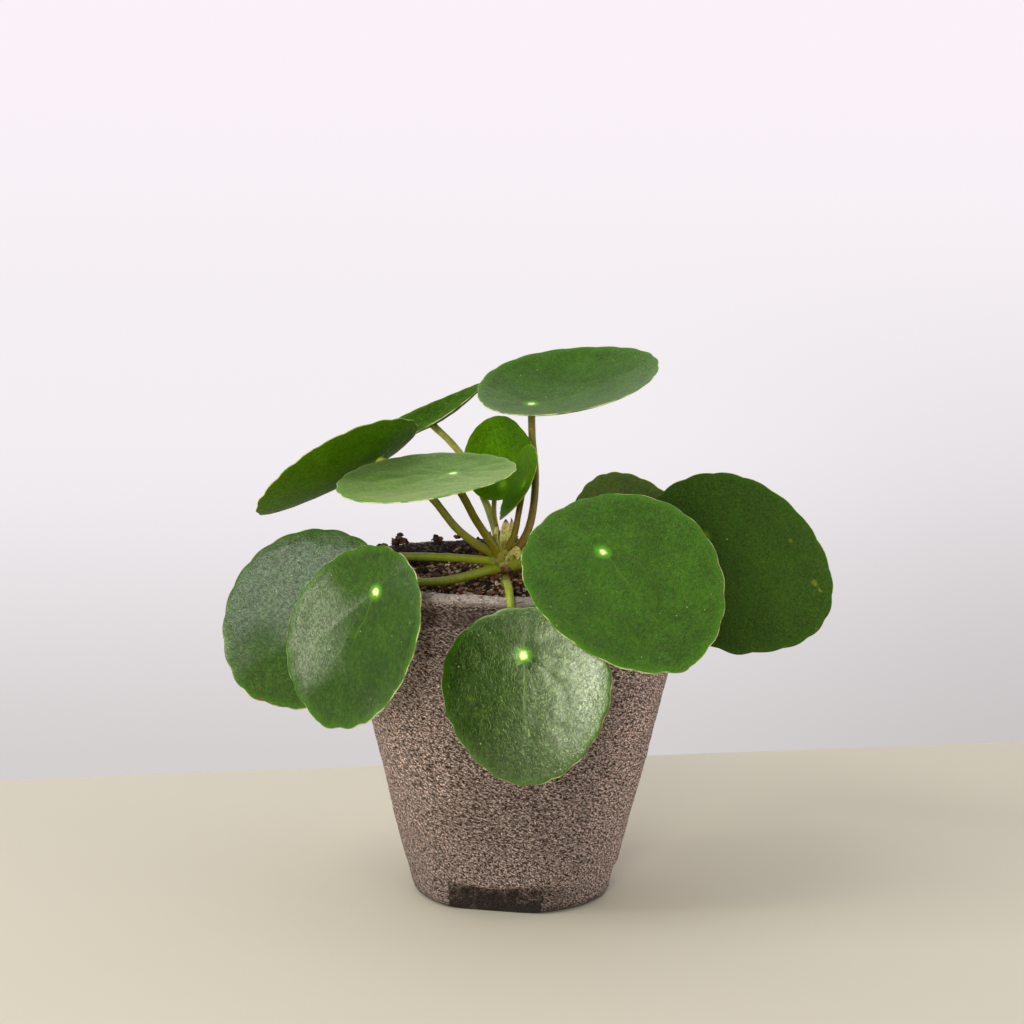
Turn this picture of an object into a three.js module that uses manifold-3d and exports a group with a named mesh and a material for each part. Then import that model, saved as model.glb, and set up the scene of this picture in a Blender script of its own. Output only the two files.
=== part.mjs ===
// Potted pilea: a small round-leaved house plant in a moulded fibre pot.
// Millimetres, +Z up, origin at the centre of the pot's flat base, the front of the plant towards -Y.
import * as THREE from 'three';
import { mergeVertices } from 'three/addons/utils/BufferGeometryUtils.js';
import Module from 'manifold-3d';

const wasm = await Module();
wasm.setup();

const RAD = Math.PI / 180;
const GAP = 0.3;

// Pot
const POT_HEIGHT = 110;
const RIM_RADIUS = 60;
const LIP_DROP = 3.6;
const BAND_LOW = 100.5;
const BAND_DEPTH = 0.8;
const STEP_HEIGHT = 10.5;
const STEP_RADIUS = 36;
const FOOT_RADIUS = 35;
const FOOT_LOW_RADIUS = 33.6;
const FOOT_ROUND = 2.6;
const WALL = 3.2;
const FLOOR = 4;
const NOTCH_REACH = 28.5;
const NOTCH_HEIGHT = 9.3;
const NOTCH_ROOF = 2;
const NOTCH_ANGLES = [-101, 19, 139];
const POT_SIDES = 64;

// Soil
const SOIL_CENTRE = 104.4;
const SOIL_EDGE = 102.2;
const SOIL_LUMP = 0.5;
const SOIL_SIDES = 48;
const SOIL_RINGS = [4.9, 9, 14, 19, 25, 31, 37, 43, 48.5, 53.2];
const HOLE_RADIUS = 5.5;
const HOLE_DEPTH = 14;

// Trunk: the short woody stem, as [x, y, z, radius] from the root end to the growing tip
const TRUNK = [
  [-2.6, 0, 91.5, 3.6],
  [-2.6, 0, 97, 4.6],
  [-2.6, 0, 104, 5.0],
  [-2.7, 0, 107.6, 4.9],
  [-3.2, 0, 111, 4.7],
  [-3.9, 0, 114, 4.2],
  [-4.7, 0.2, 117, 3.4],
  [-5.3, 0.5, 119.4, 2.5],
  [-5.6, 0.8, 121, 1.3],
];
const TRUNK_SIDES = 14;
const TRUNK_KNOB = 0.35;

// Papery scales between the stalks: [direction, foot height, foot radius, length, width, lean]
const SCALES = [
  [150, 115.5, 3.3, 9.5, 4.2, 30],
  [-48, 113.5, 3.2, 8.0, 5.0, 62],
  [15, 116.5, 2.6, 10.5, 3.6, 18],
  [-160, 112, 3.6, 6.5, 3.4, 66],
];
const SCALE_THICK = 0.7;

// Leaves: dot is where the stalk meets the blade, lean is [direction, tilt] of the upper face,
// turn swings the tip round that face, long and wide are half axes, shift is dot to middle,
// cup, egg and fold shape the blade, corners are [angle, spread, height] on the edge,
// and stalk is the stalk's route from the trunk to just below the dot.
const LEAVES = [
  {
    name: 'top', dot: [4.9, 12, 162.9], lean: [-90, 14], turn: 108,
    long: 30.4, wide: 29, shift: 13, cup: 0.68, egg: -0.1, fold: 0.12,
    corners: [], radius: 1.3,
    stalk: [[-4, 0.6, 112.2], [-0.6, 1.8, 114.2], [2.4, 3.4, 117.4], [5.2, 6.6, 124.3],
      [6.5, 11.4, 137.6], [5.2, 12.8, 152]],
  },
  {
    name: 'upper_left_back', dot: [-29.2, 31, 153.7], lean: [-175, 26], turn: -121,
    long: 21.1, wide: 20.2, shift: 4.7, cup: 0.57, egg: 0, fold: 0.5,
    corners: [], radius: 1.25,
    stalk: [[-4.6, 1.4, 113.4], [-5.4, 3.6, 116.6], [-7, 8, 121.4], [-9.6, 14.5, 127.6],
      [-12.8, 20, 134], [-16.2, 24, 140.2], [-22, 28, 147.2]],
  },
  {
    name: 'left', dot: [-45.8, -5.8, 145.9], lean: [155, 40], turn: 45,
    long: 29.6, wide: 28.3, shift: 12.9, cup: 0.39, egg: 0.04, fold: 0.29,
    corners: [], radius: 1.35,
    stalk: [[-3.8, 1, 110.4], [-7.6, 1.8, 113.5], [-11.7, 1, 115.9], [-19.3, -0.8, 122.1],
      [-27.3, -3, 132.2], [-36.4, -5, 141.2]],
  },
  {
    name: 'middle_left_front', dot: [-20.1, -26, 143.9], lean: [-130, 12], turn: -11,
    long: 29, wide: 27.7, shift: 10.5, cup: 0.17, egg: 0, fold: 0.16,
    corners: [], radius: 1.35,
    stalk: [[-4.3, -0.6, 112], [-6.6, -2.6, 115.6], [-9, -4.4, 119.6], [-13, -9, 126.3],
      [-16.4, -16, 133.8], [-19, -22.3, 139.4]],
  },
  {
    name: 'young_back', dot: [-4.4, 10, 135.9], lean: [-125, 69], turn: -158,
    long: 14.4, wide: 13.8, shift: 9, cup: 0.6, egg: -0.04, fold: 0,
    corners: [[300, 22, -0.9]], radius: 0.85,
    stalk: [[-5.2, 0.4, 116.5], [-6.2, 4.2, 120.9], [-7.2, 10.2, 125.8], [-6.9, 14, 131]],
  },
  {
    name: 'young_folded', dot: [2.4, -5, 137.8], lean: [-165, 66], turn: 26,
    long: 12.9, wide: 12.2, shift: 0, cup: 1.98, egg: 0, fold: -0.88,
    corners: [], radius: 1.05,
    stalk: [[-4.2, -0.6, 113.6], [-1.9, -2.5, 116.8], [-0.4, -3.2, 120.6], [0.6, -3.4, 125.5],
      [1.5, -4, 131.3]],
  },
  {
    name: 'left_low', dot: [-61.6, -37.3, 107.5], lean: [-113, 61], turn: -16,
    long: 30.3, wide: 29, shift: 9.9, cup: -0.07, egg: -0.05, fold: 0.25,
    corners: [[7, 15, -1.2]], radius: 1.35,
    stalk: [[-3.6, -0.6, 110.2], [-8.3, -2, 111.5], [-14.9, -4.4, 112.6], [-24.6, -9, 113.8],
      [-36.7, -17, 115.2], [-47, -27, 116], [-56, -34.5, 112.6]],
  },
  {
    name: 'front_left_low', dot: [-42.7, -60, 111.1], lean: [-132, 71], turn: -14,
    long: 28.7, wide: 27.5, shift: 14.6, cup: 0, egg: 0.04, fold: 0.4,
    corners: [[3, 9, 1.1]], radius: 1.45,
    stalk: [[-3, -1.2, 107.6], [-7.6, -5.2, 109.4], [-12, -9.4, 109.4], [-21, -20.5, 109.2],
      [-30.8, -38, 111.2], [-37, -49, 112.6]],
  },
  {
    name: 'front_low', dot: [2.7, -72, 94.4], lean: [-104, 77], turn: 6,
    long: 26.9, wide: 26.1, shift: 12.2, cup: -0.11, egg: -0.15, fold: -0.17,
    corners: [], radius: 1.35,
    stalk: [[-3, -1, 107.1], [-3.3, -6.5, 107.3], [-2.9, -15, 107.5], [-2.2, -38, 110],
      [-1.4, -54.5, 112.4], [-0.4, -60.6, 111.9], [0.4, -63.6, 109], [1.1, -64.6, 104],
      [1.9, -66.4, 98.4]],
  },
  {
    name: 'front_right', dot: [26.7, -57, 123.9], lean: [-78, 46], turn: 28,
    long: 32.6, wide: 31.1, shift: 12.4, cup: -0.14, egg: -0.09, fold: 0.41,
    corners: [[356, 8, 1]], radius: 1.5,
    stalk: [[-2.6, -0.6, 109.8], [1.4, -6.2, 111.2], [8, -21, 114.6], [17.2, -40, 119.6]],
  },
  {
    name: 'right_back', dot: [73.5, 31.3, 115.2], lean: [63, 71], turn: -6,
    long: 34.9, wide: 37.1, shift: 9.9, cup: 0, egg: 0.06, fold: -0.31,
    corners: [[9, 8, 1.2]], radius: 1.5,
    stalk: [[-2.6, 0.6, 108.6], [3.4, 2.9, 110.6], [9.4, 5.2, 112], [29, 13, 114],
      [48, 21, 115.2], [63, 27.2, 115.6]],
  },
  {
    name: 'back', dot: [38.4, 60.2, 119.3], lean: [78, 66], turn: -17,
    long: 24.7, wide: 22.8, shift: 7.4, cup: 0, egg: 0.19, fold: -0.11,
    corners: [], radius: 1.35,
    stalk: [[-3, 1, 111.4], [0.6, 6, 112.6], [5.4, 13.4, 113.6], [17.3, 31, 115.2], [30, 48, 116.6]],
  },
];
const BLADE_THICK = 0.8;
const EDGE_STEPS = 80;
const SCALLOPS = 20;
const SCALLOP_DEPTH = 0.55;
const BLADE_RINGS = [[1, 1], [0.8, 2], [0.45, 4]];
const STALK_SIDES = 8;
const STALK_STEP = 6;
const CUTTER = 22;

// Seeded random numbers in 0..1
function seeded(seed) {
  let state = seed;
  return () => {
    state = (state * 1664525 + 1013904223) % 4294967296;
    return state / 4294967296;
  };
}

function toManifold(geometry) {
  const bare = geometry.index ? geometry.clone() : geometry;
  bare.deleteAttribute('normal');
  bare.deleteAttribute('uv');
  const merged = mergeVertices(bare, 1e-5);
  return new wasm.Manifold(new wasm.Mesh({
    numProp: 3,
    vertProperties: new Float32Array(merged.attributes.position.array),
    triVerts: new Uint32Array(merged.index.array),
  }));
}

function fromManifold(solid) {
  const mesh = solid.getMesh();
  const geometry = new THREE.BufferGeometry();
  geometry.setAttribute('position', new THREE.BufferAttribute(new Float32Array(mesh.vertProperties), 3));
  geometry.setIndex(Array.from(mesh.triVerts));
  geometry.computeVertexNormals();
  return geometry;
}

const group = new THREE.Group();

function addPiece(name, geometry, colour, roughness) {
  const material = new THREE.MeshStandardMaterial({ color: colour, roughness, metalness: 0 });
  material.name = `${name}_finish`;
  const mesh = new THREE.Mesh(geometry, material);
  mesh.name = name;
  group.add(mesh);
}

function lathe(profile, sides) {
  const points = profile.map(([radius, height]) => new THREE.Vector2(radius, height));
  return new THREE.LatheGeometry(points, sides).rotateX(Math.PI / 2);
}

const wallRadius = (z) =>
  STEP_RADIUS + (RIM_RADIUS - STEP_RADIUS) * (z - STEP_HEIGHT) / (POT_HEIGHT - STEP_HEIGHT);

// Pot: one moulded wall with a rounded lip, a shallow band below it and a stepped foot
const potOutside = [
  [0, 0],
  [FOOT_LOW_RADIUS - FOOT_ROUND, 0],
  [FOOT_LOW_RADIUS - FOOT_ROUND * 0.3, FOOT_ROUND * 0.3],
  [FOOT_LOW_RADIUS, FOOT_ROUND],
  [FOOT_RADIUS, STEP_HEIGHT - 1],
  [STEP_RADIUS + 0.3, STEP_HEIGHT + 1],
  [wallRadius(BAND_LOW - 1), BAND_LOW - 1],
  [wallRadius(BAND_LOW) - BAND_DEPTH, BAND_LOW],
  [wallRadius(POT_HEIGHT - LIP_DROP) - BAND_DEPTH, POT_HEIGHT - LIP_DROP],
  [RIM_RADIUS, POT_HEIGHT - LIP_DROP + 0.8],
  [RIM_RADIUS + 0.3, POT_HEIGHT - 1.8],
  [RIM_RADIUS - 0.5, POT_HEIGHT - 0.5],
  [RIM_RADIUS - 1.6, POT_HEIGHT],
  [0, POT_HEIGHT],
];
const potInside = [
  [0, FLOOR],
  [FOOT_RADIUS - WALL - 1, FLOOR],
  [FOOT_RADIUS - WALL - 0.4, STEP_HEIGHT - 1],
  [wallRadius(STEP_HEIGHT + 2) - WALL, STEP_HEIGHT + 2],
  [RIM_RADIUS - WALL - 0.4, POT_HEIGHT - 2],
  [RIM_RADIUS - 2.8, POT_HEIGHT - 0.4],
  [RIM_RADIUS - 1.6, POT_HEIGHT + 0.3],
  [0, POT_HEIGHT + 0.3],
];
// Three flat notches round the foot let water drain; the wall follows them on the inside
function notches(reach, height) {
  return NOTCH_ANGLES.map((angle) => {
    const block = new THREE.BoxGeometry(20, 80, height + 4);
    block.translate(reach + 10, 0, (height - 4) / 2);
    return toManifold(block.rotateZ(angle * RAD));
  });
}
let pot = toManifold(lathe(potOutside, POT_SIDES));
let potRoom = toManifold(lathe(potInside, POT_SIDES));
for (const block of notches(NOTCH_REACH, NOTCH_HEIGHT)) pot = pot.subtract(block);
const notchWalls = notches(NOTCH_REACH - WALL, NOTCH_HEIGHT + NOTCH_ROOF);
for (const block of notchWalls) potRoom = potRoom.subtract(block);
pot = pot.subtract(potRoom);
addPiece('pot', fromManifold(pot), 0x786a62, 0.95);

// Soil: fills the pot to just below the lip, with a lumpy top and a plain hole for the trunk
const soilWall = (z) => wallRadius(z) - WALL - GAP - 0.1;
const soilDraw = seeded(41);
function soilTop() {
  const lumps = SOIL_RINGS.map((radius) => {
    const row = [];
    const lump = radius < 6 ? 0.1 : SOIL_LUMP;
    for (let i = 0; i < SOIL_SIDES; i += 1) row.push((soilDraw() * 2 - 1) * lump);
    return row;
  });
  return (ring, i) => {
    const share = SOIL_RINGS[ring] / SOIL_RINGS[SOIL_RINGS.length - 1];
    return SOIL_CENTRE + (SOIL_EDGE - SOIL_CENTRE) * share * share + lumps[ring][i];
  };
}
const topHeight = soilTop();
const soilLow = FLOOR + GAP;
const footTop = STEP_HEIGHT + 3;
const soilPoints = [];
const soilFaces = [];
function ringPoints(radius, height) {
  const start = soilPoints.length / 3;
  for (let i = 0; i < SOIL_SIDES; i += 1) {
    const angle = i / SOIL_SIDES * Math.PI * 2;
    soilPoints.push(radius * Math.cos(angle), radius * Math.sin(angle), height(i));
  }
  return start;
}
function joinRings(outer, inner, points, faces, sides) {
  for (let i = 0; i < sides; i += 1) {
    const j = (i + 1) % sides;
    faces.push(outer + i, outer + j, inner + j, outer + i, inner + j, inner + i);
  }
}
const notchInside = NOTCH_REACH - WALL - GAP - 0.2;
const soilRings = [
  ringPoints(notchInside, () => soilLow),
  ringPoints(notchInside, () => NOTCH_HEIGHT + NOTCH_ROOF + GAP + 0.2),
  ringPoints(soilWall(footTop + 4) - 0.2, () => footTop + 4),
  ringPoints(soilWall(SOIL_EDGE - 2), () => SOIL_EDGE - 2),
];
for (let ring = SOIL_RINGS.length - 1; ring >= 0; ring -= 1) {
  soilRings.push(ringPoints(SOIL_RINGS[ring], (i) => topHeight(ring, i)));
}
const soilBottom = soilPoints.length / 3;
soilPoints.push(0, 0, soilLow);
const soilTopCentre = soilPoints.length / 3;
soilPoints.push(0, 0, SOIL_CENTRE);
for (let i = 0; i < SOIL_SIDES; i += 1) {
  const j = (i + 1) % SOIL_SIDES;
  soilFaces.push(soilBottom, soilRings[0] + j, soilRings[0] + i);
  const last = soilRings[soilRings.length - 1];
  soilFaces.push(soilTopCentre, last + i, last + j);
}
for (let ring = 0; ring + 1 < soilRings.length; ring += 1) {
  joinRings(soilRings[ring], soilRings[ring + 1], soilPoints, soilFaces, SOIL_SIDES);
}
function solidFrom(points, faces) {
  const geometry = new THREE.BufferGeometry();
  geometry.setAttribute('position', new THREE.BufferAttribute(new Float32Array(points), 3));
  geometry.setIndex(faces);
  return geometry;
}
const hole = new THREE.CylinderGeometry(HOLE_RADIUS, HOLE_RADIUS - 0.6, HOLE_DEPTH + 6, 16);
hole.rotateX(Math.PI / 2).translate(TRUNK[0][0], TRUNK[0][1], SOIL_CENTRE - HOLE_DEPTH / 2 + 3);
const soil = toManifold(solidFrom(soilPoints, soilFaces)).subtract(toManifold(hole));
addPiece('soil', fromManifold(soil), 0x3a2a22, 1);

// Trunk: knobbly rings of old leaf scars; inflate it to clear the stalks that leave it
function trunkSolid(inflate) {
  const points = [];
  const faces = [];
  const draw = seeded(7);
  for (const [x, y, z, radius] of TRUNK) {
    for (let i = 0; i < TRUNK_SIDES; i += 1) {
      const angle = i / TRUNK_SIDES * Math.PI * 2;
      const r = radius + inflate + (draw() - 0.5) * TRUNK_KNOB * Math.min(1, radius / 3);
      points.push(x + r * Math.cos(angle), y + r * Math.sin(angle), z);
    }
  }
  for (let ring = 0; ring + 1 < TRUNK.length; ring += 1) {
    joinRings(ring * TRUNK_SIDES, (ring + 1) * TRUNK_SIDES, points, faces, TRUNK_SIDES);
  }
  const foot = points.length / 3;
  points.push(TRUNK[0][0], TRUNK[0][1], TRUNK[0][2] - inflate);
  const tip = points.length / 3;
  const top = TRUNK[TRUNK.length - 1];
  points.push(top[0], top[1], top[2] + 0.4 + inflate);
  const lastRing = (TRUNK.length - 1) * TRUNK_SIDES;
  for (let i = 0; i < TRUNK_SIDES; i += 1) {
    const j = (i + 1) % TRUNK_SIDES;
    faces.push(foot, j, i);
    faces.push(tip, lastRing + i, lastRing + j);
  }
  return toManifold(solidFrom(points, faces));
}

// One leaf's own frame at its dot: upper is the upper face's direction, tip points along the blade
function leafFrame(leaf) {
  const direction = leaf.lean[0] * RAD;
  const tilt = leaf.lean[1] * RAD;
  const turn = leaf.turn * RAD;
  const upper = new THREE.Vector3(
    Math.sin(tilt) * Math.cos(direction), Math.sin(tilt) * Math.sin(direction), Math.cos(tilt),
  );
  const downhill = new THREE.Vector3(
    Math.cos(tilt) * Math.cos(direction), Math.cos(tilt) * Math.sin(direction), -Math.sin(tilt),
  );
  const across = new THREE.Vector3().crossVectors(upper, downhill);
  const tip = downhill.multiplyScalar(Math.cos(turn)).addScaledVector(across, Math.sin(turn));
  const side = new THREE.Vector3().crossVectors(upper, tip);
  return { upper, tip, side, dot: new THREE.Vector3(...leaf.dot) };
}

// Edge of the blade in its own plane, with shallow scallops and the leaf's own corners
function edgePoint(leaf, step, share) {
  const angle = step / EDGE_STEPS * Math.PI * 2;
  let u = leaf.shift + leaf.long * Math.cos(angle);
  let v = leaf.wide * Math.sin(angle) * (1 + leaf.egg * Math.cos(angle));
  const size = Math.min(1, leaf.wide / 26);
  let push = SCALLOP_DEPTH * size * (Math.abs(Math.sin(angle * SCALLOPS / 2)) - 0.6);
  for (const [middle, spread, height] of leaf.corners) {
    let away = (angle / RAD - middle + 540) % 360 - 180;
    away /= spread;
    push += height * Math.exp(-away * away);
  }
  u += push * Math.cos(angle);
  v += push * Math.sin(angle);
  return [u * share, v * share];
}

function bladeSolid(leaf) {
  const { upper, tip, side, dot } = leafFrame(leaf);
  const points = [];
  const faces = [];
  const place = (u, v, low) => {
    const rise = (leaf.cup * (u * u + v * v) + leaf.fold * v * v) / 100 + low;
    const point = dot.clone().addScaledVector(tip, u).addScaledVector(side, v).addScaledVector(upper, rise);
    points.push(point.x, point.y, point.z);
  };
  const layer = (low) => {
    const starts = [];
    for (const [share, stride] of BLADE_RINGS) {
      starts.push(points.length / 3);
      for (let step = 0; step < EDGE_STEPS; step += stride) {
        const [u, v] = edgePoint(leaf, step, share);
        place(u, v, low);
      }
    }
    starts.push(points.length / 3);
    place(0, 0, low);
    return starts;
  };
  const top = layer(0);
  const bottom = layer(-BLADE_THICK);
  const both = (a, b, c) => {
    faces.push(a, b, c);
    const drop = bottom[0] - top[0];
    faces.push(c + drop, b + drop, a + drop);
  };
  for (let ring = 0; ring + 1 < BLADE_RINGS.length; ring += 1) {
    const count = EDGE_STEPS / BLADE_RINGS[ring + 1][1];
    for (let i = 0; i < count; i += 1) {
      const j = (i + 1) % count;
      const outer = top[ring] + 2 * i;
      const next = top[ring] + (2 * i + 2) % (2 * count);
      both(outer, outer + 1, top[ring + 1] + i);
      both(outer + 1, next, top[ring + 1] + j);
      both(outer + 1, top[ring + 1] + j, top[ring + 1] + i);
    }
  }
  const inner = top[BLADE_RINGS.length - 1];
  const count = EDGE_STEPS / BLADE_RINGS[BLADE_RINGS.length - 1][1];
  for (let i = 0; i < count; i += 1) both(inner + i, inner + (i + 1) % count, top[BLADE_RINGS.length]);
  for (let i = 0; i < EDGE_STEPS; i += 1) {
    const j = (i + 1) % EDGE_STEPS;
    faces.push(top[0] + j, top[0] + i, bottom[0] + i, top[0] + j, bottom[0] + i, bottom[0] + j);
  }
  return toManifold(solidFrom(points, faces));
}

// Leaf stalk: a round tube along its route
function stalkTube(leaf, inflate) {
  const { upper, dot } = leafFrame(leaf);
  const end = dot.clone().addScaledVector(upper, 0.6);
  const places = [...leaf.stalk.map((p) => new THREE.Vector3(...p)), end];
  const route = new THREE.CatmullRomCurve3(places, false, 'centripetal');
  const radius = leaf.radius + inflate;
  const outline = [];
  for (let i = 0; i < STALK_SIDES; i += 1) {
    const angle = i / STALK_SIDES * Math.PI * 2;
    outline.push(new THREE.Vector2(radius * Math.cos(angle), radius * Math.sin(angle)));
  }
  const steps = Math.max(6, Math.round(route.getLength() / STALK_STEP));
  const shape = new THREE.Shape(outline);
  return toManifold(new THREE.ExtrudeGeometry(shape, { steps, extrudePath: route, bevelEnabled: false }));
}

// The tube is cut just below the blade, square to it, and clear of the trunk
function stalkSolid(leaf, clearTrunk) {
  const { upper, tip, side, dot } = leafFrame(leaf);
  const cutter = new THREE.BoxGeometry(CUTTER, CUTTER, CUTTER / 2);
  cutter.translate(0, 0, CUTTER / 4 - BLADE_THICK - GAP);
  cutter.applyMatrix4(new THREE.Matrix4().makeBasis(tip, side, upper).setPosition(dot));
  return stalkTube(leaf, 0).subtract(toManifold(cutter)).subtract(clearTrunk);
}

const largestBody = (solid) => solid.decompose().reduce((a, b) => (b.volume() > a.volume() ? b : a));

const clearTrunk = trunkSolid(GAP);
const stalks = LEAVES.map((leaf) => stalkSolid(leaf, clearTrunk));
const clearStalks = LEAVES.map((leaf) => stalkTube(leaf, GAP + 0.1));

// Scales: thin pointed flaps that stand out of the trunk between the stalks
let trunk = trunkSolid(0);
for (const [direction, height, foot, length, width, lean] of SCALES) {
  const shape = new THREE.Shape();
  shape.moveTo(-width / 2, -1.5);
  shape.lineTo(width / 2, -1.5);
  shape.lineTo(width * 0.42, length * 0.55);
  shape.lineTo(0, length);
  shape.lineTo(-width * 0.42, length * 0.55);
  shape.closePath();
  const thin = new THREE.ExtrudeGeometry(shape, { depth: SCALE_THICK, bevelEnabled: false });
  thin.rotateX(Math.PI / 2).translate(0, SCALE_THICK / 2, 0);
  thin.rotateX(-lean * RAD).rotateZ((direction - 90) * RAD);
  const centre = TRUNK[5];
  thin.translate(
    centre[0] + foot * Math.cos(direction * RAD), centre[1] + foot * Math.sin(direction * RAD), height,
  );
  let flap = toManifold(thin);
  for (const tube of clearStalks) flap = flap.subtract(tube);
  trunk = trunk.add(flap);
}
trunk = largestBody(trunk);
addPiece('trunk', fromManifold(trunk), 0x4a3018, 0.8);

LEAVES.forEach((leaf, index) => {
  const young = leaf.name.startsWith('young');
  addPiece(`blade_${leaf.name}`, fromManifold(bladeSolid(leaf)), young ? 0x4a8212 : 0x2f5a22, 0.4);
  addPiece(`stalk_${leaf.name}`, fromManifold(stalks[index]), 0x6b7a1c, 0.5);
});

export default group;
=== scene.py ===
import math
import random

import bmesh
import bpy
import numpy as np
from mathutils import Matrix, Vector, noise


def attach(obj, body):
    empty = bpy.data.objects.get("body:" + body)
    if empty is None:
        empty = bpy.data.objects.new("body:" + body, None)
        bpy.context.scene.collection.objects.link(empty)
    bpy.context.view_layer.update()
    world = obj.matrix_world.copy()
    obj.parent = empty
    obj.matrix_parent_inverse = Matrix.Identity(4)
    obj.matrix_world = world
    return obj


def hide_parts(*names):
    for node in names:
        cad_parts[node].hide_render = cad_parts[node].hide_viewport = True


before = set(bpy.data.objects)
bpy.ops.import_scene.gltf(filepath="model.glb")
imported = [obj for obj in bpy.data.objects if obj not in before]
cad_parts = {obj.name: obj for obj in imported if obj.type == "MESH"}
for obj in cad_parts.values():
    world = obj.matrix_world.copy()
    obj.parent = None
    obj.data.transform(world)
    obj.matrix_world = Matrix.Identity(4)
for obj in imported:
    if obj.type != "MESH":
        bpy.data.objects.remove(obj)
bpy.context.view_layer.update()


# Pot. One piece of wood fibre, drawn on to a wire-mesh mould: a rolled lip, a shallow band under it,
# a tapered wall, a stepped foot and three flat notches in the foot that let the water out.
MM = 0.001
POT_HEIGHT = 110.0
RIM_RADIUS = 60.0
LIP_DROP = 3.6
BAND_LOW = 100.5
BAND_DEPTH = 0.8
STEP_HEIGHT = 10.5
STEP_RADIUS = 36.0
FOOT_RADIUS = 35.0
FOOT_LOW_RADIUS = 33.6
POT_WALL = 3.2
POT_FLOOR = 4.0
NOTCH_REACH = 28.5
NOTCH_HEIGHT = 9.3
NOTCH_ANGLES = (-101, 19, 139)
# The drain slit in the front notch, as its direction, height and half height
DRAIN_SLIT = (-101, 6.4, 1.6)
# Heights of the grooves that the mould left, and the middle of the band of finer rows round them
MOULD_RINGS = (30.5, 33.6, 36.2, 38.1, 41.4, 43.2)
MOULD_ROWS_AT = 37
# Directions of the middle of the front, left darker as shaded by the leaves, and of the painted
# shade beside the front notch
SHADED_FRONT = -84
FOOT_SHADE_AT, FOOT_SHADE_SPREAD = -76, 20
# The soil hides the inner wall below this height
BURIED_BELOW = 84
# Radius at which the wall is unrolled for its material
MEAN_RADIUS = 48
POT_COLUMNS = 400
POT_SPACING = 0.85


def wall_radius(z):
    """Outer radius of the tapered wall at this height."""
    return STEP_RADIUS + (RIM_RADIUS - STEP_RADIUS) * (z - STEP_HEIGHT) / (POT_HEIGHT - STEP_HEIGHT)


def turned_from(direction, angles):
    """How far the angles, in radians, are turned to either side of a direction in degrees."""
    return (angles - math.radians(direction) + math.pi) % (2 * math.pi) - math.pi


def rounded(points, times):
    """Cuts the corners of an open outline, so that it turns in small steps."""
    line = np.array(points, float)
    for _ in range(times):
        early = line[:-1] * 0.75 + line[1:] * 0.25
        late = line[:-1] * 0.25 + line[1:] * 0.75
        middle = np.empty((2 * len(early), line.shape[1]))
        middle[0::2], middle[1::2] = early, late
        line = np.vstack([line[:1], middle, line[-1:]])
    return line


def spaced(line, spacing):
    """Points along an outline at an even spacing."""
    reach = np.concatenate([[0], np.cumsum(np.linalg.norm(np.diff(line, axis=0), axis=1))])
    at = np.linspace(0, reach[-1], max(2, round(reach[-1] / spacing)))
    return np.stack([np.interp(at, reach, line[:, k]) for k in range(line.shape[1])], 1)


def rough(points, size, seed, octaves=2):
    """Smooth random heights from -1 to 1 at the points, with lumps of about this size."""
    shift = Vector((seed * 17.3, seed * 5.1, seed * 9.7))
    return np.array(
        [noise.fractal(Vector(p) / size + shift, 1.0, 2.0, octaves) for p in points.reshape(-1, 3)]
    ).reshape(points.shape[:-1])


def placed(name, data):
    """A new object in the scene that shows this mesh, lamp or camera."""
    made = bpy.data.objects.new(name, data)
    bpy.context.scene.collection.objects.link(made)
    return made


def skin(name, rings, start=None, end=None, wrapped=None):
    """Joins closed rings of points, in millimetres, to one mesh. The start and end points close it, and
    wrapped gives each ring point its place on the unrolled surface."""
    count, sides = rings.shape[:2]
    points = [rings.reshape(-1, 3)]
    first = (np.arange(count - 1)[:, None] * sides + np.arange(sides)).ravel()
    after = (np.arange(count - 1)[:, None] * sides + (np.arange(sides) + 1) % sides).ravel()
    faces = np.stack([first, after, after + sides, first + sides], 1).tolist()
    for point, ring, turned in ((start, 0, True), (end, count - 1, False)):
        if point is None:
            continue
        centre = sum(len(p) for p in points)
        points.append(np.array(point, float).reshape(1, 3))
        for j in range(sides):
            pair = [ring * sides + j, ring * sides + (j + 1) % sides]
            faces.append((pair[::-1] if turned else pair) + [centre])
    mesh = bpy.data.meshes.new(name)
    mesh.from_pydata(np.vstack(points) * MM, [], faces)
    if wrapped is not None:
        layer = mesh.uv_layers.new(name="wrap")
        corners = np.zeros((len(mesh.loops), 2))
        i, j = np.divmod(np.arange((count - 1) * sides), sides)
        for corner, (di, dj) in enumerate(((0, 0), (0, 1), (1, 1), (1, 0))):
            corners[corner : 4 * len(i) : 4] = wrapped[i + di, j + dj]
        layer.uv.foreach_set("vector", corners.astype(np.float32).ravel())
    mesh.shade_smooth()
    return placed(name, mesh)


def mark(piece, name, values):
    """Stores three numbers at each point of a piece, for its material to read."""
    held = piece.data.attributes.new(name, "FLOAT_VECTOR", "POINT")
    held.data.foreach_set("vector", np.asarray(values, np.float32).ravel())


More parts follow.
